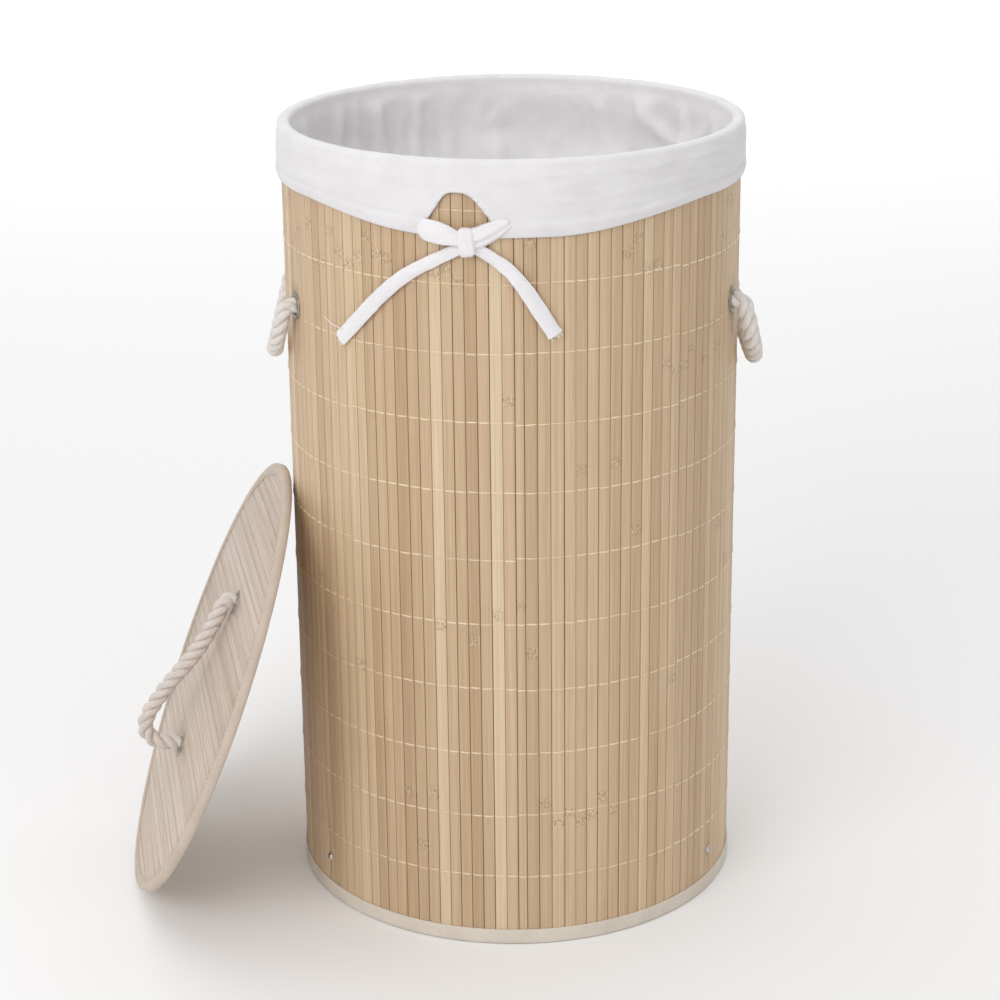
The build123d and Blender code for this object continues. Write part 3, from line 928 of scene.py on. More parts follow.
def makeFrays(side, station):  # loose threads at the cut end of a tail
    place, sideways, outwards, halfWidth, halfDepth, _ = station
    ahead = outwards.cross(sideways)
    draw = random.Random(7 if side == "Left" else 12)
    bm = bmesh.new()
    for number in range(16):
        start = place + sideways * halfWidth * draw.uniform(-0.85, 0.85) + outwards * draw.uniform(-0.6, 0.6) * mm
        length = draw.uniform(1.5, 3.5) * mm
        bend = sideways * draw.uniform(-1, 1) * mm + outwards * draw.uniform(-0.3, 0.8) * mm
        line = [start - ahead * 1.0 * mm, start + ahead * length * 0.5, start + ahead * length + bend]
        rings = [(spot, a, b, 0.16 * mm, 0.16 * mm, way) for spot, _, a, b, way in carried(evenLine(line, 0.8 * mm))]
        sweepRings(bm, rings, 5)
    if side == "Left":  # one long loose thread
        loose = [onCuff(-99, -77, 3 * mm), onCuff(-104, -74, 4 * mm), onCuff(-111, -73.5, 4.5 * mm), onCuff(-121, -70, 3 * mm)]
        line = evenLine(routeLine("looseThread", loose), 1 * mm)
        rings = [(spot, a, b, 0.3 * mm, 0.3 * mm, way) for spot, _, a, b, way in carried(line)]
        sweepRings(bm, rings, 6)
    closeEnds(bm)
    piece = asPiece(bm, f"tieFrays{side}", "liner", materials["tape"])
    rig.slot(piece, "cotton")
    return piece


# stations of the bow's loops: along, up, out, half height, half depth, in millimetres
bowLoops = {
    "Left": [
        [(-3, 0.5, 4.4, 4.6, 3.4), (-8, 1.2, 4.6, 5.2, 3.8), (-14, 2.6, 4.5, 6.6, 3.9), (-21, 4.4, 4.2, 7.6, 3.4),
         (-28, 5.8, 3.6, 7.6, 2.8), (-32.5, 6.4, 3.0, 6.2, 2.2), (-35, 6.6, 2.7, 3.2, 1.3)],
    ],
    "Right": [
        [(3, 3.0, 4.4, 5.2, 3.4), (9, 4.8, 4.6, 5.4, 3.6), (15, 7.4, 4.3, 5.2, 3.2), (21, 10.0, 3.8, 4.4, 2.7),
         (26, 12.0, 3.3, 3.0, 2.0), (28.5, 12.8, 3.0, 1.4, 1.1)],
        [(3, -3.6, 3.8, 3.2, 2.8), (9, -1.8, 3.8, 2.9, 2.5), (15, 0.9, 3.4, 2.5, 2.2), (21, 4.4, 3.1, 2.1, 1.9),
         (26, 8.0, 2.9, 1.7, 1.6), (30, 10.6, 2.7, 1.0, 1.0)],
    ],
}


def eased(stations, count):  # more stations between the given ones, on a smooth line
    fine = []
    for number in range(count):
        spot = number / (count - 1) * (len(stations) - 1)
        low = min(int(spot), len(stations) - 2)
        t = spot - low
        before, start = stations[max(0, low - 1)], stations[low]
        end, after = stations[low + 1], stations[min(len(stations) - 1, low + 2)]
        fine.append(tuple(
            0.5 * (2 * b + (c - a) * t + (2 * a - 5 * b + 4 * c - d) * t * t + (3 * b - a - 3 * c + d) * t**3)
            for a, b, c, d in zip(before, start, end, after)
        ))
    return fine


def makeBowLoop(side):
    bm = bmesh.new()
    for stationList in bowLoops[side]:
        fine = eased(stationList, 34)
        places = [onCuff(along, rise, out * mm) for along, rise, out, _, _ in fine]
        stations = []
        for (place, ahead, _, _, distance), (_, _, _, halfHeight, halfDepth) in zip(carried(places), fine):
            outwards = fromAxis(place)
            stations.append((place, ahead.cross(outwards).normalized(), outwards, halfHeight * mm, halfDepth * mm, distance))

        def pleats(turn, distance):  # pleats that run out from the knot
            fade = 1 - smooth(distance, 8 * mm, 26 * mm)
            return (0.05 + 0.09 * fade) * math.cos(5 * turn + 2 * wave((distance, turn * mm, 0), 12 * mm, 4.0))

        sweepRings(bm, stations, 28, pleats)
    closeEnds(bm)
    piece = asPiece(bm, f"tieLoop{side}", "liner", materials["tape"], sharpAngle=70)
    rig.replaces(piece, f"tie_loop_{side.lower()}")
    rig.slot(piece, "cotton")


def makeTieKnot():
    bm = bmesh.new()
    bmesh.ops.create_cube(bm, size=2.0)
    bmesh.ops.subdivide_edges(bm, edges=bm.edges, cuts=11, use_grid_fill=True)
    half = Vector((4.9, 6.6, 10.2)) * mm
    for spot in bm.verts:
        blockPower = 3.4  # between a ball and a block
        size = sum(abs(part) ** blockPower for part in spot.co) ** (1 / blockPower)
        at = spot.co / size
        waist = 1 - 0.10 * math.cos(math.pi * at.z / 2) * abs(at.y)
        pleat = 1 + 0.035 * math.cos(9 * at.y + 1.5 * at.z) + 0.03 * wave(at, 0.5, 9.0)
        spot.co = Vector((at.x * half.x * pleat, at.y * half.y * waist, at.z * half.z * (1 - 0.06 * at.y)))
    turn = Matrix.Rotation(tie["bearing"], 4, "Z") @ Matrix.Rotation(math.radians(4), 4, "X")
    bmesh.ops.transform(bm, matrix=Matrix.Translation(onCuff(0, -1.2, 5.0 * mm)) @ turn, verts=bm.verts)
    piece = asPiece(bm, "tieKnot", "liner", materials["tape"], sharpAngle=70)
    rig.replaces(piece, "tie_knot")
    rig.slot(piece, "cotton")


makeTail("Left")
makeTail("Right")
makeBowLoop("Left")
makeBowLoop("Right")
makeTieKnot()
print("tie made")


# wall: bamboo slats, and the thread that sews them

wall = {
    "slatCount": 120,
    "slatInner": 170 * mm,
    "slatDepth": 2.0 * mm,
    "slatGap": 0.3 * mm,
    "low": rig.box("wall_slats_front")[0].z,
    "high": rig.box("wall_slats_front")[1].z,
    "cuts": 5,
    "bevel": 0.3 * mm,
    "widthSpread": 0.045,
    "seed": 41,
    "threadRows": 11,
    "threadInset": 0.4 * mm,  # a row's middle from the edge of the rows' box
    "threadReach": 172.15 * mm,
    "holeRadius": 7.6 * mm,
    "screwHoleRadius": 1.6 * mm,
}
screwHeight = sum(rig.box("base_screws"), Vector()).z / 2
holeBearings = [side + turn for side in (0, 180) for turn in (-20, 20)]
screwBearings = [-30, 30, 150, 210]
# slats that stand out by their colour: degrees from the front towards the right, and the tint from 0 to 1
markedSlats = {
    -51: 0.7, -48: 0.62, -44.5: 0.8, -41: 0.72, -37: 0.2, -33: 0.3, -29.5: 0.12, -26: 0.2, -20.5: 0.86,
    -17: 0.4, -14: 0.3, -6.5: 0.92, -3: 0.55, 0.5: 0.5, 7: 0.4, 13: 0.62, 19: 0.66, 31.5: 0.8, 35: 0.25,
}
narrowSlats = {0: 0.72, 47: 0.7, 63: 0.78, 91: 0.7}  # number of a slat from the front, and its share of the usual width


def slatTemplate(width, length, depth, cuts, bevel):
    bm = bmesh.new()
    uvLayer = bm.loops.layers.uv.new("slatUV")
    for name in slatValues:
        bm.faces.layers.float.new(name)
    bmesh.ops.create_cube(bm, size=1.0)
    bmesh.ops.scale(bm, vec=(depth, width, length), verts=bm.verts)

    def isLong(edge):
        return abs(edge.verts[0].co.z - edge.verts[1].co.z) > length / 2

    outer = [edge for edge in bm.edges if isLong(edge) and edge.verts[0].co.x > 0]
    bmesh.ops.bevel(bm, geom=outer, offset=bevel, affect="EDGES", segments=2, profile=0.5, material=-1)
    bmesh.ops.subdivide_edges(bm, edges=[edge for edge in bm.edges if isLong(edge)], cuts=cuts)
    for face in bm.faces:
        for corner in face.loops:
            corner[uvLayer].uv = (corner.vert.co.y, corner.vert.co.z)
    mesh = bpy.data.meshes.new("slatTemplate")
    bm.to_mesh(mesh)
    bm.free()
    return mesh


def slatBearings(draw):  # each slat's bearing and its share of the usual width, going round from the front
    widths = [1 + draw.gauss(0, wall["widthSpread"]) for _ in range(wall["slatCount"])]
    for number, share in narrowSlats.items():
        widths[number] = share
    scale = 360 / sum(widths)
    bearing, places = 270 - widths[0] * scale / 2, []
    for width in widths:
        places.append(((bearing + width * scale / 2) % 360, width * scale / 360 * wall["slatCount"]))
        bearing += width * scale
    return places


def makeWall():
    draw = random.Random(wall["seed"])
    places = slatBearings(draw)
    length = wall["high"] - wall["low"]
    pitch = math.tau * wall["slatInner"] / wall["slatCount"]
    width = pitch - wall["slatGap"] + 0.1 * mm
    template = slatTemplate(width, length, wall["slatDepth"], wall["cuts"], wall["bevel"])
    quarters = {side: bmesh.new() for side in ("right", "back", "left", "front")}
    for bm in quarters.values():
        bm.loops.layers.uv.new("slatUV")
        for name in slatValues:
            bm.faces.layers.float.new(name)
    family, familyTint, markHeight = 0, 0.5, 0.0
    for bearing, share in places:
        if family == 0:  # neighbours are often split from one culm
            family = draw.choice((2, 3, 4, 5, 7))
            familyTint = draw.uniform(0.25, 0.62)
            markHeight = draw.choice((0.232, 0.232, 0.24, 0.15, 0.05, -0.04, -0.12, -0.2))
        family -= 1
        tint = min(1.0, max(0.0, familyTint + draw.gauss(0, 0.13)))
        fromFront = (bearing - 270 + 180) % 360 - 180
        for place, chosen in markedSlats.items():
            if abs(fromFront - place) < 1.6:
                tint = chosen
        marks = sorted((
            markHeight + draw.gauss(0, 0.016), markHeight + draw.choice((-0.27, 0.3, 9)) + draw.gauss(0, 0.025)
        ))
        if draw.random() < 0.15:
            marks[0] = 9
        values = {"slatTint": tint, "slatSeed": draw.random(), "markLow": marks[0], "markHigh": marks[1]}
        side = ("right", "back", "left", "front")[int(((bearing + 46.5) % 360) // 90)]
        middle = Matrix.Translation((wall["slatInner"] + wall["slatDepth"] / 2, 0, (wall["low"] + wall["high"]) / 2))
        fresh = copyInto(quarters[side], template, Matrix.Identity(4), values)
        bow = draw.uniform(-0.16, 0.16) * mm
        aside = min(0.12, max(-0.12, draw.gauss(0, 0.08))) * mm
        for spot in fresh:
            wander = wave((spot.co.z, 0, 0), 0.16, values["slatSeed"] * 90)
            spot.co.y = spot.co.y * (share * pitch - wall["slatGap"]) / width + wander * 0.14 * mm + aside
            spot.co.x += 0.12 * mm * (wander - 1) * 0.5 + bow * 0.2 * (spot.co.z / length)
        bmesh.ops.transform(
            quarters[side], matrix=Matrix.Rotation(math.radians(bearing), 4, "Z") @ middle, verts=fresh
        )
    bpy.data.meshes.remove(template)
    for side, bm in quarters.items():
        piece = asPiece(bm, f"wallSlats{side.title()}", material=materials["bamboo"], sharpAngle=50)
        cutters = bmesh.new()
        for bearing in holeBearings:
            bar(cutters, wall["holeRadius"], 16 * mm, holePlace(bearing, swingHeight), 32)
        for bearing in screwBearings:
            bar(cutters, wall["screwHoleRadius"], 16 * mm, holePlace(bearing, screwHeight), 12)
        if side in ("right", "left"):
            carve(piece, asPiece(cutters, "wallBores"))
        else:
            cutters.free()
        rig.ride(piece, "hamper")
        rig.replaces(piece, f"wall_slats_{side}")
        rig.slot(piece, "bamboo")
    return places


def holePlace(bearing, height):  # a place on the wall whose Z points outwards
    return (
        Matrix.Rotation(math.radians(bearing), 4, "Z")
        @ Matrix.Translation((wall["slatInner"], 0, height))
        @ Matrix.Rotation(math.pi / 2, 4, "Y")
    )


def makeThreads(places):
    draw = random.Random(wall["seed"] + 1)
    dash = bmesh.new()
    bmesh.ops.create_cone(
        dash, cap_ends=False, segments=6, radius1=0.42 * mm, radius2=0.42 * mm, depth=1.0,
        matrix=Matrix.Rotation(math.pi / 2, 4, "X"),
    )
    longEdges = [edge for edge in dash.edges if edge.calc_length() > 0.5]
    bmesh.ops.subdivide_edges(dash, edges=longEdges, cuts=3)
    template = bpy.data.meshes.new("dashTemplate")
    dash.to_mesh(template)
    dash.free()
    bm = bmesh.new()
    rowLow, rowHigh = [corner.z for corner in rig.box("wall_threads")]
    spacing = (rowHigh - rowLow - 2 * wall["threadInset"]) / (wall["threadRows"] - 1)
    for row in range(wall["threadRows"]):
        height = rowLow + wall["threadInset"] + row * spacing
        rowMesh = bmesh.new()
        for number, (bearing, share) in enumerate(places):
            hidden = any(
                abs((bearing - hole + 180) % 360 - 180) < 4.5 and abs(height - swingHeight) < 12 * mm
                for hole in holeBearings
            )
            if hidden:
                continue
            section = 0.9 * mm * math.sin(number // 15 * 2.1 + row * 1.7)
            length = share * math.tau * wall["threadReach"] / wall["slatCount"]
            lift = height + section + draw.gauss(0, 0.16) * mm
            place = Matrix.Rotation(math.radians(bearing), 4, "Z") @ Matrix.Translation((wall["threadReach"], 0, lift))
            fresh = copyInto(rowMesh, template, Matrix.Identity(4))
            slope = draw.gauss(0, 0.025)
            for spot in fresh:
                end = abs(spot.co.y) * 2
                spot.co.x -= 1.0 * mm * end**6
                spot.co.z = spot.co.z * (1.6 - 0.5 * end**4) + slope * spot.co.y * length
                spot.co.y *= length
            bmesh.ops.transform(rowMesh, matrix=place, verts=fresh)
        addBatch(bm, rowMesh)
    bpy.data.meshes.remove(template)
    piece = asPiece(bm, "wallThreads", "hamper", materials["thread"])
    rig.replaces(piece, "wall_threads")
    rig.slot(piece, "sewing_thread")


slatPlaces = makeWall()
makeThreads(slatPlaces)
print("wall made:", len(slatPlaces), "slats")


# eyelets, screws and the bottom tape

eyelet = {  # millimetres: from the rope's own line, and out from the face that it sits on
    "outline": [(6.8, -4.0), (6.8, 0.3), (7.2, 0.95), (7.9, 1.3), (8.7, 1.25), (9.5, 0.85), (10.0, 0.2), (10.0, 0.0),
                (7.6, 0.0), (7.6, -4.0)],
    "steps": 36,
    "wallSeat": 172.05 * mm,
}


def makeEyelets(name, places, body, replaced):
    template = bmesh.new()
    spinProfile(template, [(r * mm, 0, z * mm) for r, z in eyelet["outline"]], (0, 0, 1), eyelet["steps"])
    mesh = bpy.data.meshes.new("eyeletTemplate")
    template.to_mesh(mesh)
    template.free()
    bm = bmesh.new()
    for place in places:
        copyInto(bm, mesh, place)
    bpy.data.meshes.remove(mesh)
    piece = asPiece(bm, name, body, materials["eyelet"])
    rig.replaces(piece, replaced)
    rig.slot(piece, "eyelet_metal")


def makeScrews():
    outline = [(0, 2.1), (1.2, 2.0), (2.3, 1.6), (3.1, 0.95), (3.6, 0.1), (3.6, 0.0), (1.5, 0.0), (1.5, -19.0), (0, -20.0)]
    bm = bmesh.new()
    for bearing in screwBearings:
        single = bmesh.new()
        spots = [single.verts.new((r * mm, 0, z * mm)) for r, z in outline]
        rims = [single.edges.new(pair) for pair in zip(spots, spots[1:])]
        bmesh.ops.spin(single, geom=spots + rims, cent=(0, 0, 0), axis=(0, 0, 1), angle=math.tau, steps=24, use_merge=True)
        bmesh.ops.remove_doubles(single, verts=single.verts, dist=0.02 * mm)
        bmesh.ops.recalc_face_normals(single, faces=single.faces)
        mesh = bpy.data.meshes.new("screwTemplate")
        single.to_mesh(mesh)
        single.free()
        copyInto(bm, mesh, holePlace(bearing, screwHeight) @ Matrix.Translation((0, 0, 2.05 * mm)))
        bpy.data.meshes.remove(mesh)
    piece = asPiece(bm, "baseScrews", material=materials["screw"])
    slots = bmesh.new()
    for bearing in screwBearings:
        for turn in (20, 110):
            place = holePlace(bearing, screwHeight) @ Matrix.Translation((0, 0, 4.2 * mm))
            place = place @ Matrix.Rotation(math.radians(turn), 4, "Z") @ Matrix.Diagonal((3.6 * mm, 0.7 * mm, 2.2 * mm, 1))
            bmesh.ops.create_cube(slots, size=1.0, matrix=place)
    carve(piece, asPiece(slots, "screwSlots"))
    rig.ride(piece, "hamper")
    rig.replaces(piece, "base_screws")
    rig.slot(piece, "screw_metal")


def makeBottomTape():
    outline = [  # from the axis, and up from the floor, in millimetres
        (168.5, 0.9), (169.1, 0.2), (170.0, 0.0), (171.6, 0.0), (172.5, 0.2), (173.0, 0.8), (173.1, 3.0), (173.1, 6.0),
        (173.1, 9.0), (172.95, 11.4), (172.6, 12.0), (172.1, 11.9), (172.1, 5.0), (172.1, 0.95), (169.5, 0.95),
        (169.5, 11.9), (168.9, 12.0), (168.5, 11.4), (168.5, 5.0),
    ]
    bm = bmesh.new()
    spinProfile(bm, [(r * mm, 0, z * mm) for r, z in outline], (0, 0, 1), 240)
    for spot in bm.verts:
        if spot.co.z > 2 * mm:
            turn = fromAxis(spot.co)
            ripple = wave(turn * 0.17 + Vector((0, 0, spot.co.z)), 13 * mm, 6.0)
            spot.co += turn * ripple * 0.16 * mm + Vector((0, 0, ripple * 0.25 * mm * smooth(spot.co.z, 9 * mm, 12 * mm)))
    piece = asPiece(bm, "bottomTape", "hamper", materials["edgeCloth"], sharpAngle=60)
    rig.replaces(piece, "bottom_edge_tape")
    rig.slot(piece, "edge_cloth")


wallEyeletPlaces = [
    holePlace(bearing, swingHeight) @ Matrix.Translation((0, 0, eyelet["wallSeat"] - wall["slatInner"]))
    for bearing in holeBearings
]
makeEyelets("wallEyelets", wallEyeletPlaces, "hamper", "wall_eyelets")
makeScrews()
makeBottomTape()
print("fittings made")


# lid: slats, cloth tape round the edge with its stitches, and eyelets

def lidHole(way):
    return lidPlace @ Matrix.Translation((0, way * lid["holeHalf"], lid["face"]))


def makeLidSlats():
    draw = random.Random(17)
    width = lid["slatPitch"] - lid["slatGap"]
    template = slatTemplate(width, 2 * lid["radius"], lid["slatDepth"], 5, 0.3 * mm)
    bm = bmesh.new()
    bm.loops.layers.uv.new("slatUV")
    for name in slatValues:
        bm.faces.layers.float.new(name)
    rows = int((lid["radius"] - 1 * mm) / lid["slatPitch"] + 0.5)
    level = Matrix.Translation((0, 0, lid["face"] - lid["slatDepth"] / 2)) @ Matrix.Rotation(lid["slatTurn"], 4, "Z")
    tint = 0.5
    for row in range(-rows, rows + 1):
        tint = min(1.0, max(0.0, 0.55 * tint + 0.45 * draw.uniform(0.05, 0.95)))
        marks = [draw.uniform(-0.17, 0.17) if draw.random() < 0.5 else 9, 9]
        values = {"slatTint": tint, "slatSeed": draw.random(), "markLow": marks[0], "markHigh": marks[1]}
        place = level @ Matrix.Translation((0, row * lid["slatPitch"], 0)) @ Matrix.Rotation(-math.pi / 2, 4, "Y")
        fresh = copyInto(bm, template, Matrix.Identity(4), values)
        for spot in fresh:
            spot.co.x += 0.08 * mm * (wave((spot.co.z, 0, 0), 0.12, row * 1.3) - 1) * 0.5
            spot.co.y += 0.10 * mm * wave((spot.co.z, 0, 0), 0.15, row * 2.1)
        bmesh.ops.transform(bm, matrix=place, verts=fresh)
    bpy.data.meshes.remove(template)
    piece = asPiece(bm, "lidSlats", material=materials["lidBamboo"], sharpAngle=50)
    disc = bmesh.new()
    bar(disc, lid["radius"] - 1 * mm, 20 * mm, Matrix.Identity(4), 160)
    carve(piece, asPiece(disc, "lidDisc"), "INTERSECT")
    bores = bmesh.new()
    for way in (-1, 1):
        bar(bores, 7.6 * mm, 30 * mm, Matrix.Translation((0, way * lid["holeHalf"], 0)), 32)
    carve(piece, asPiece(bores, "lidBores"))
    piece.data.transform(lidPlace)
    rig.ride(piece, "lid")
    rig.replaces(piece, "lid_slats")
    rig.slot(piece, "lid_bamboo")


def makeLidTape():
    outline = [  # from the lid's middle, and out from its back face, in millimetres
        (166.2, 6.0), (166.4, 6.35), (168.5, 6.6), (172.0, 6.6), (174.6, 6.4), (175.8, 5.6), (176.1, 3.3), (175.8, 0.9),
        (174.6, 0.1), (172.0, 0.0), (168.5, 0.0), (166.4, 0.2), (166.2, 0.55), (170.0, 0.62), (175.0, 0.7),
        (175.1, 3.3), (175.0, 5.85), (170.0, 5.92),
    ]
    bm = bmesh.new()
    spinProfile(bm, [(r * mm, 0, z * mm) for r, z in outline], (0, 0, 1), 260)
    for spot in bm.verts:
        flat = fromAxis(spot.co)
        ripple = wave(flat * 0.17, 9 * mm, 8.0)
        edge = smooth(abs(spot.co.xy.length - 171 * mm), 2 * mm, 5 * mm)
        spot.co += flat * ripple * 0.22 * mm + Vector((0, 0, 0.14 * mm * ripple * (1 - edge) * (1 if spot.co.z > 3 * mm else -1)))
    bmesh.ops.transform(bm, matrix=lidPlace, verts=bm.verts)
    piece = asPiece(bm, "lidEdgeTape", "lid", materials["lidTape"], sharpAngle=60)
    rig.replaces(piece, "lid_edge_tape")
    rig.slot(piece, "edge_cloth")


def makeStitches(name, spots, size, body, material, slotName):  # small raised stitches at ready places
    single = bmesh.new()
    bmesh.ops.create_uvsphere(single, u_segments=6, v_segments=4, radius=1.0, matrix=Matrix.Diagonal((*size, 1)))
    template = bpy.data.meshes.new("stitchTemplate")
    single.to_mesh(template)
    single.free()
    bm = bmesh.new()
    repeated(bm, template, spots)
    bpy.data.meshes.remove(template)
    piece = asPiece(bm, name, body, materials[material])
    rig.slot(piece, slotName)


def lidStitchPlaces():
    count = 268
    for face in (6.55 * mm, 0.05 * mm):
        for number in range(count):
            turn = Matrix.Rotation(math.tau * number / count, 4, "Z")
            yield lidPlace @ turn @ Matrix.Translation((168.6 * mm, 0, face))


makeLidSlats()
makeLidTape()
makeStitches("lidStitches", lidStitchPlaces(), (0.32 * mm, 1.35 * mm, 0.28 * mm), "lid", "lidStitch", "sewing_thread")
makeEyelets("lidEyelets", [lidHole(-1), lidHole(1)], "lid", "lid_eyelets")
print("lid made")


# liner: one cotton sheet, from the bag's floor up the wall, over the rim and down the outside

liner = {
    "floor": 40.5 * mm,
    "bagRadius": 147.2 * mm,
    "topRadius": 164.8 * mm,
    "shoulderLow": 498 * mm,
    "shoulderHigh": 560 * mm,
    "rimLow": 597.3 * mm,
    "rimMiddle": 169.25 * mm,
    "rimHalf": 4.45 * mm,
    "rimRise": 4.5 * mm,
    "cuffRadius": 173.7 * mm,
    "hemTop": 560 * mm,
    "hemLow": 548.4 * mm,
    "thickness": 1.1 * mm,
    "rounds": 300,
}
# soft folds down the inside: degrees from the front, lean in degrees for each metre up, half width and depth in
# millimetres, and the heights between which they run
foldLines = [
    (236, -60, 4.0, 3.6, 0.30, 0.596), (227, 25, 3.2, 3.0, 0.36, 0.597), (218, 55, 5.0, 4.6, 0.22, 0.595),
    (206, -30, 3.4, 3.2, 0.30, 0.596), (196, 20, 4.5, 2.0, 0.25, 0.59), (181, -20, 5.0, 2.4, 0.10, 0.588),
    (166, 0, 1.0, 1.1, 0.06, 0.5985), (152, 35, 5.0, 2.6, 0.2, 0.592), (139, -95, 4.6, 6.2, 0.42, 0.595),
    (121, 60, 4.0, 4.4, 0.3, 0.594), (104, -30, 5.5, 4.0, 0.2, 0.592), (88, 25, 4.5, 3.0, 0.25, 0.594),
    (70, -20, 5.0, 3.4, 0.2, 0.592), (52, 30, 4.4, 3.0, 0.22, 0.594), (30, -25, 5.5, 3.6, 0.18, 0.59),
    (10, 20, 4.2, 2.6, 0.25, 0.592), (-12, -20, 4.8, 3.2, 0.2, 0.59), (-34, 28, 5.2, 3.4, 0.2, 0.592),
    (-58, -22, 4.4, 2.8, 0.24, 0.593), (-82, 26, 5.4, 3.8, 0.2, 0.592), (-104, -24, 4.6, 3.0, 0.25, 0.594),
]
tieFromFront = math.degrees(tie["bearing"]) + 90
swags = [  # slack cloth hanging between two bearings: left, right, height at the ends, drop, half width, depth
    (142, 104, 0.590, 0.030, 5.5, 5.2), (200, 170, 0.560, 0.014, 6.0, 2.6), (250, 222, 0.566, 0.016, 6.0, 3.0),
    (98, 60, 0.565, 0.022, 6.0, 3.6), (160, 128, 0.548, 0.018, 6.0, 3.0), (40, -10, 0.560, 0.018, 6.0, 3.0),
]


def linerOutline():  # radius and height from the floor's middle to the hem
    spots = [(liner["bagRadius"] * 0.955 * share / 17, liner["floor"]) for share in range(18)]
    corner = liner["bagRadius"] * 0.045
    for number in range(1, 6):
        turn = math.pi / 2 * number / 5
        spots.append((
            liner["bagRadius"] - corner + corner * math.sin(turn), liner["floor"] + corner * (1 - math.cos(turn))
        ))
    low = liner["floor"] + corner
    spots += [(liner["bagRadius"], low + (liner["shoulderLow"] - low) * number / 30) for number in range(1, 31)]
    for number in range(1, 11):
        share = number / 10
        height = liner["shoulderLow"] + (liner["shoulderHigh"] - liner["shoulderLow"]) * share
        spots.append((liner["bagRadius"] + (liner["topRadius"] - liner["bagRadius"]) * smooth(share, 0, 1), height))
    rise = liner["rimLow"] - liner["shoulderHigh"]
    spots += [(liner["topRadius"], liner["shoulderHigh"] + rise * number / 10) for number in range(1, 11)]
    for number in range(1, 12):  # over the rim, a little flat on top
        turn = math.pi * (1 - number / 12)
        flat, up = math.cos(turn), math.sin(turn)
        spots.append((
            liner["rimMiddle"] + liner["rimHalf"] * math.copysign(abs(flat) ** 0.72, flat),
            liner["rimLow"] + liner["rimRise"] * up**0.72,
        ))
    drop = liner["rimLow"] - liner["hemLow"]
    spots += [(liner["cuffRadius"], liner["rimLow"] - drop * number / 24) for number in range(25)]
    spots += [(liner["cuffRadius"] - 0.25 * mm, liner["hemLow"] - 0.5 * mm)]
    return spots


def foldDepth(degrees, height):
    depth = 0.0
    for bearing, lean, halfWidth, deep, low, high in foldLines:
        centre = bearing + lean * (height - 0.56) + 1.5 * wave((height, 0, 0), 0.07, bearing)
        away = abs((degrees - centre + 180) % 360 - 180) * math.radians(1) * 160
        if away < 5 * halfWidth:
            fade = smooth(height, low, low + 0.08) * (1 - smooth(height, high - 0.016, high))
            depth += deep * fade / (1 + (away / halfWidth) ** 2.4)
    for start, end, top, drop, halfWidth, deep in swags:
        middle, half = (start + end) / 2, abs(start - end) / 2
        share = ((degrees - middle + 180) % 360 - 180) / half
        if abs(share) < 1:
            away = (height - (top - drop * (1 - share * share))) / mm
            side = halfWidth * (0.8 if away > 0 else 1.5)
            depth += deep * (1 - share * share) ** 0.7 / (1 + (away / side) ** 2)
    return depth * mm


def wrinkled(place, region):
    flat = fromAxis(place)
    degrees = math.degrees(math.atan2(flat.x, -flat.y))
    height, round1 = place.z, flat * 0.165
    if region == "inside":
        top = 1 - smooth(height, 0.588, 0.5965)
        body = smooth(height, 0.045, 0.09)
        soft = 0.5 + 0.5 * wave(round1 + Vector((0, 0, height * 0.5)), 0.045, 3.0)
        crease = 1 - abs(wave(round1 * 1.6 + Vector((0, 0, height)), 0.030, 11.0))
        slack = (3.2 * soft**1.5 + 1.4 * crease**5) * mm * top * body
        sag = 3.0 * mm * (1 - smooth(height, 0.3, 0.5)) * (0.5 + 0.5 * wave(round1, 0.05, 21.0)) * body
        return place - flat * (foldDepth(degrees, height) + slack + sag)
    if region == "rim":
        lift = 0.5 + 0.35 * wave(round1, 0.035, 14.0) + 0.25 * wave(round1, 0.011, 17.0)
        return place + Vector((0, 0, 1.1 * mm * max(0, lift))) + flat * 0.3 * mm * wave(round1, 0.03, 15.0)
    away = abs((degrees - tieFromFront + 180) % 360 - 180) * math.radians(1) * 173
    level = smooth(height, 0.549, 0.556) * (1 - smooth(height, 0.590, 0.598))
    across = 0.5 + 0.5 * wave(round1 * 0.28 + Vector((0, 0, height)), 6.5 * mm, 30.0)
    broad = 0.5 + 0.5 * wave(round1 + Vector((0, 0, height)), 0.04, 31.0)
    gather = math.exp(-((away - 0.030) / 0.022) ** 2) * (0.5 + 0.5 * wave(round1 + Vector((0, 0, height * 0.25)), 7 * mm, 33.0))
    rumple = smooth(degrees, -8, 6) * (1 - smooth(degrees, 45, 75))  # most wrinkled to the right of the tie
    crease = (1 - abs(wave(round1 * 0.22 + Vector((0, 0, height)), 9 * mm, 35.0))) ** 6
    out = ((0.7 + 1.1 * rumple) * across * level + 1.1 * broad * level + 1.2 * gather) * mm
    out += (0.3 + 0.6 * rumple) * crease * level * mm
    hem = smooth(height, 0.5475, 0.5495) * (1 - smooth(height, 0.5585, 0.5605))
    around = abs((degrees + 5 + 180) % 360 - 180)
    raised = (1.5 + 13.0 * smooth(around, 12, 58)) * mm * (liner["rimLow"] - height) / (liner["rimLow"] - liner["hemLow"])
    out += 0.75 * mm * hem - 0.45 * mm * math.exp(-((height - liner["hemTop"]) / (1.2 * mm)) ** 2)
    lift = 0.4 * mm * wave(round1, 0.05, 37.0) * (1 - smooth(height, 0.548, 0.556))
    return place + flat * max(out, 0) + Vector((0, 0, lift + raised))


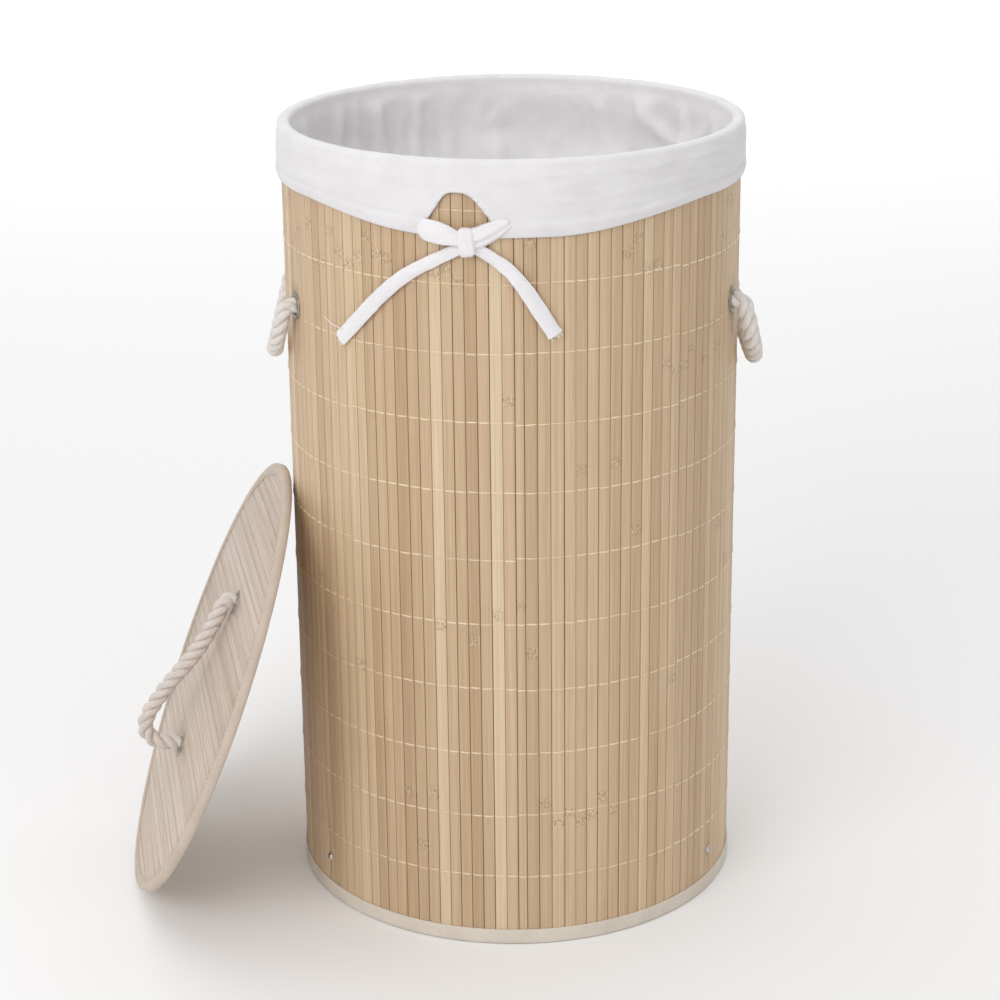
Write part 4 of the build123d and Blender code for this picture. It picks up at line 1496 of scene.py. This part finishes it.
def makeLiner():
    bm = bmesh.new()
    along = bm.verts.layers.float.new("along")
    uvLayer = bm.loops.layers.uv.new("clothUV")
    outline = linerOutline()
    spots, walked = [], 0.0
    for number, (radius, height) in enumerate(outline):
        if number:
            walked += math.dist(outline[number], outline[number - 1])
        spot = bm.verts.new((0, -radius, height))
        spot[along] = walked
        spots.append(spot)
    rims = [bm.edges.new(pair) for pair in zip(spots, spots[1:])]
    bmesh.ops.spin(
        bm, geom=spots + rims, cent=(0, 0, 0), axis=(0, 0, 1), angle=math.tau, steps=liner["rounds"], use_merge=True
    )
    bmesh.ops.remove_doubles(bm, verts=bm.verts, dist=0.02 * mm)
    bmesh.ops.recalc_face_normals(bm, faces=bm.faces)
    if max(bm.faces, key=lambda face: face.calc_center_median().z).normal.z < 0:
        bmesh.ops.reverse_faces(bm, faces=bm.faces)
    for face in bm.faces:
        turns = [math.atan2(corner.vert.co.x, -corner.vert.co.y) for corner in face.loops]
        for corner, turn in zip(face.loops, turns):
            whole = turn + math.tau if max(turns) - turn > math.pi else turn
            corner[uvLayer].uv = (whole * liner["topRadius"], corner.vert[along])
    onRim = [spot[along] for spot in bm.verts if spot.co.z > liner["rimLow"] + 0.1 * mm]
    low, high = min(onRim), max(onRim)
    for spot in bm.verts:
        region = "inside" if spot[along] < low else "rim" if spot[along] <= high else "cuff"
        if region == "inside" and spot.co.z < liner["floor"] + 1 * mm:
            spot.co.z += 1.4 * mm * (0.5 + 0.5 * wave(spot.co, 0.035, 50.0))
        elif spot.co.xy.length > 1 * mm:
            spot.co = wrinkled(spot.co.copy(), region)
    bm.verts.layers.float.remove(along)
    piece = asPiece(bm, "liner", material=materials["cotton"], sharpAngle=180)
    thick = piece.modifiers.new("cloth", "SOLIDIFY")
    thick.thickness = liner["thickness"]
    thick.offset = 0.0
    applyModifiers(piece)
    carve(piece, makeNotchCutter())
    for face in piece.data.polygons:
        face.use_smooth = True
    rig.ride(piece, "liner")
    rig.replaces(piece, "liner_bag", "liner_base", "liner_cuff", "liner_hem")
    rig.slot(piece, "cotton")
    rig.sheet(
        piece, flat=(1.05, 0.94), area=0.74, held="hung", rests_on=["top_edge_tape", "base_board"],
        with_pieces=["tieKnot", "hemStitches"],
    )


# the opening at the tie: along the cuff from the knot and up from it, in millimetres
notchOutline = [
    (-30, -16), (-32.5, -6), (-33, 3), (-31.5, 8), (-28, 14), (-22, 22.5), (-17.5, 29.5), (-13.5, 32.5), (-6, 32.6),
    (0, 31.5), (6, 26.5), (11, 20), (15.5, 14.5), (18.5, 10), (20, 5), (20, -4), (19, -16),
]


def makeNotchCutter():
    line = routeLine("notchLine", [(0, along * mm, up * mm) for along, up in notchOutline], 6)
    bm = bmesh.new()
    rim = [bm.verts.new(spot) for spot in line]
    face = bm.faces.new(rim)
    grown = bmesh.ops.extrude_face_region(bm, geom=[face])["geom"]
    moved = [part for part in grown if isinstance(part, bmesh.types.BMVert)]
    bmesh.ops.translate(bm, vec=(12 * mm, 0, 0), verts=moved)
    place = Matrix.Rotation(tie["bearing"], 4, "Z") @ Matrix.Translation((169 * mm, 0, tie["height"]))
    bmesh.ops.transform(bm, matrix=place, verts=bm.verts)
    bmesh.ops.recalc_face_normals(bm, faces=bm.faces)
    return asPiece(bm, "notchCutter")


def hemStitchPlaces():
    count = 380
    for number in range(count):
        degrees = 360 * number / count
        away = ((degrees - tieFromFront + 180) % 360 - 180) * math.radians(1) * 173
        if -38 < away < 34:
            continue
        turn = Matrix.Rotation(math.radians(degrees - 90), 4, "Z")
        seam = wrinkled(turn @ Vector((liner["cuffRadius"], 0, liner["hemTop"])), "cuff")
        yield Matrix.Translation(seam + fromAxis(seam) * 0.62 * mm) @ turn


makeStitches("hemStitches", hemStitchPlaces(), (0.25 * mm, 0.95 * mm, 0.25 * mm), "liner", "stitch", "cotton")
makeLiner()
print("liner made")


# kept pieces get their finishes

keptFinishes = {
    "wall_backing_cloth": "backing",
    "wall_seam_tape": "edgeCloth",
    "top_hoop": "hoop",
    "top_edge_tape": "edgeCloth",
    "base_board": "board",
    "wall_eyelet_washers": "eyelet",
    "lid_board": "board",
    "lid_backing_cloth": "backing",
    "lid_eyelet_washers": "eyelet",
}
for nodeName, finishName in keptFinishes.items():
    mesh = frame["nodes"][nodeName].data
    mesh.materials.clear()
    mesh.materials.append(materials[finishName])
print("finishes set")

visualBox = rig.bounds()
with open("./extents.json", "w") as sizeFile:
    json.dump({"cad": [list(corner) for corner in cadBox], "visual": [list(corner) for corner in visualBox]}, sizeFile)
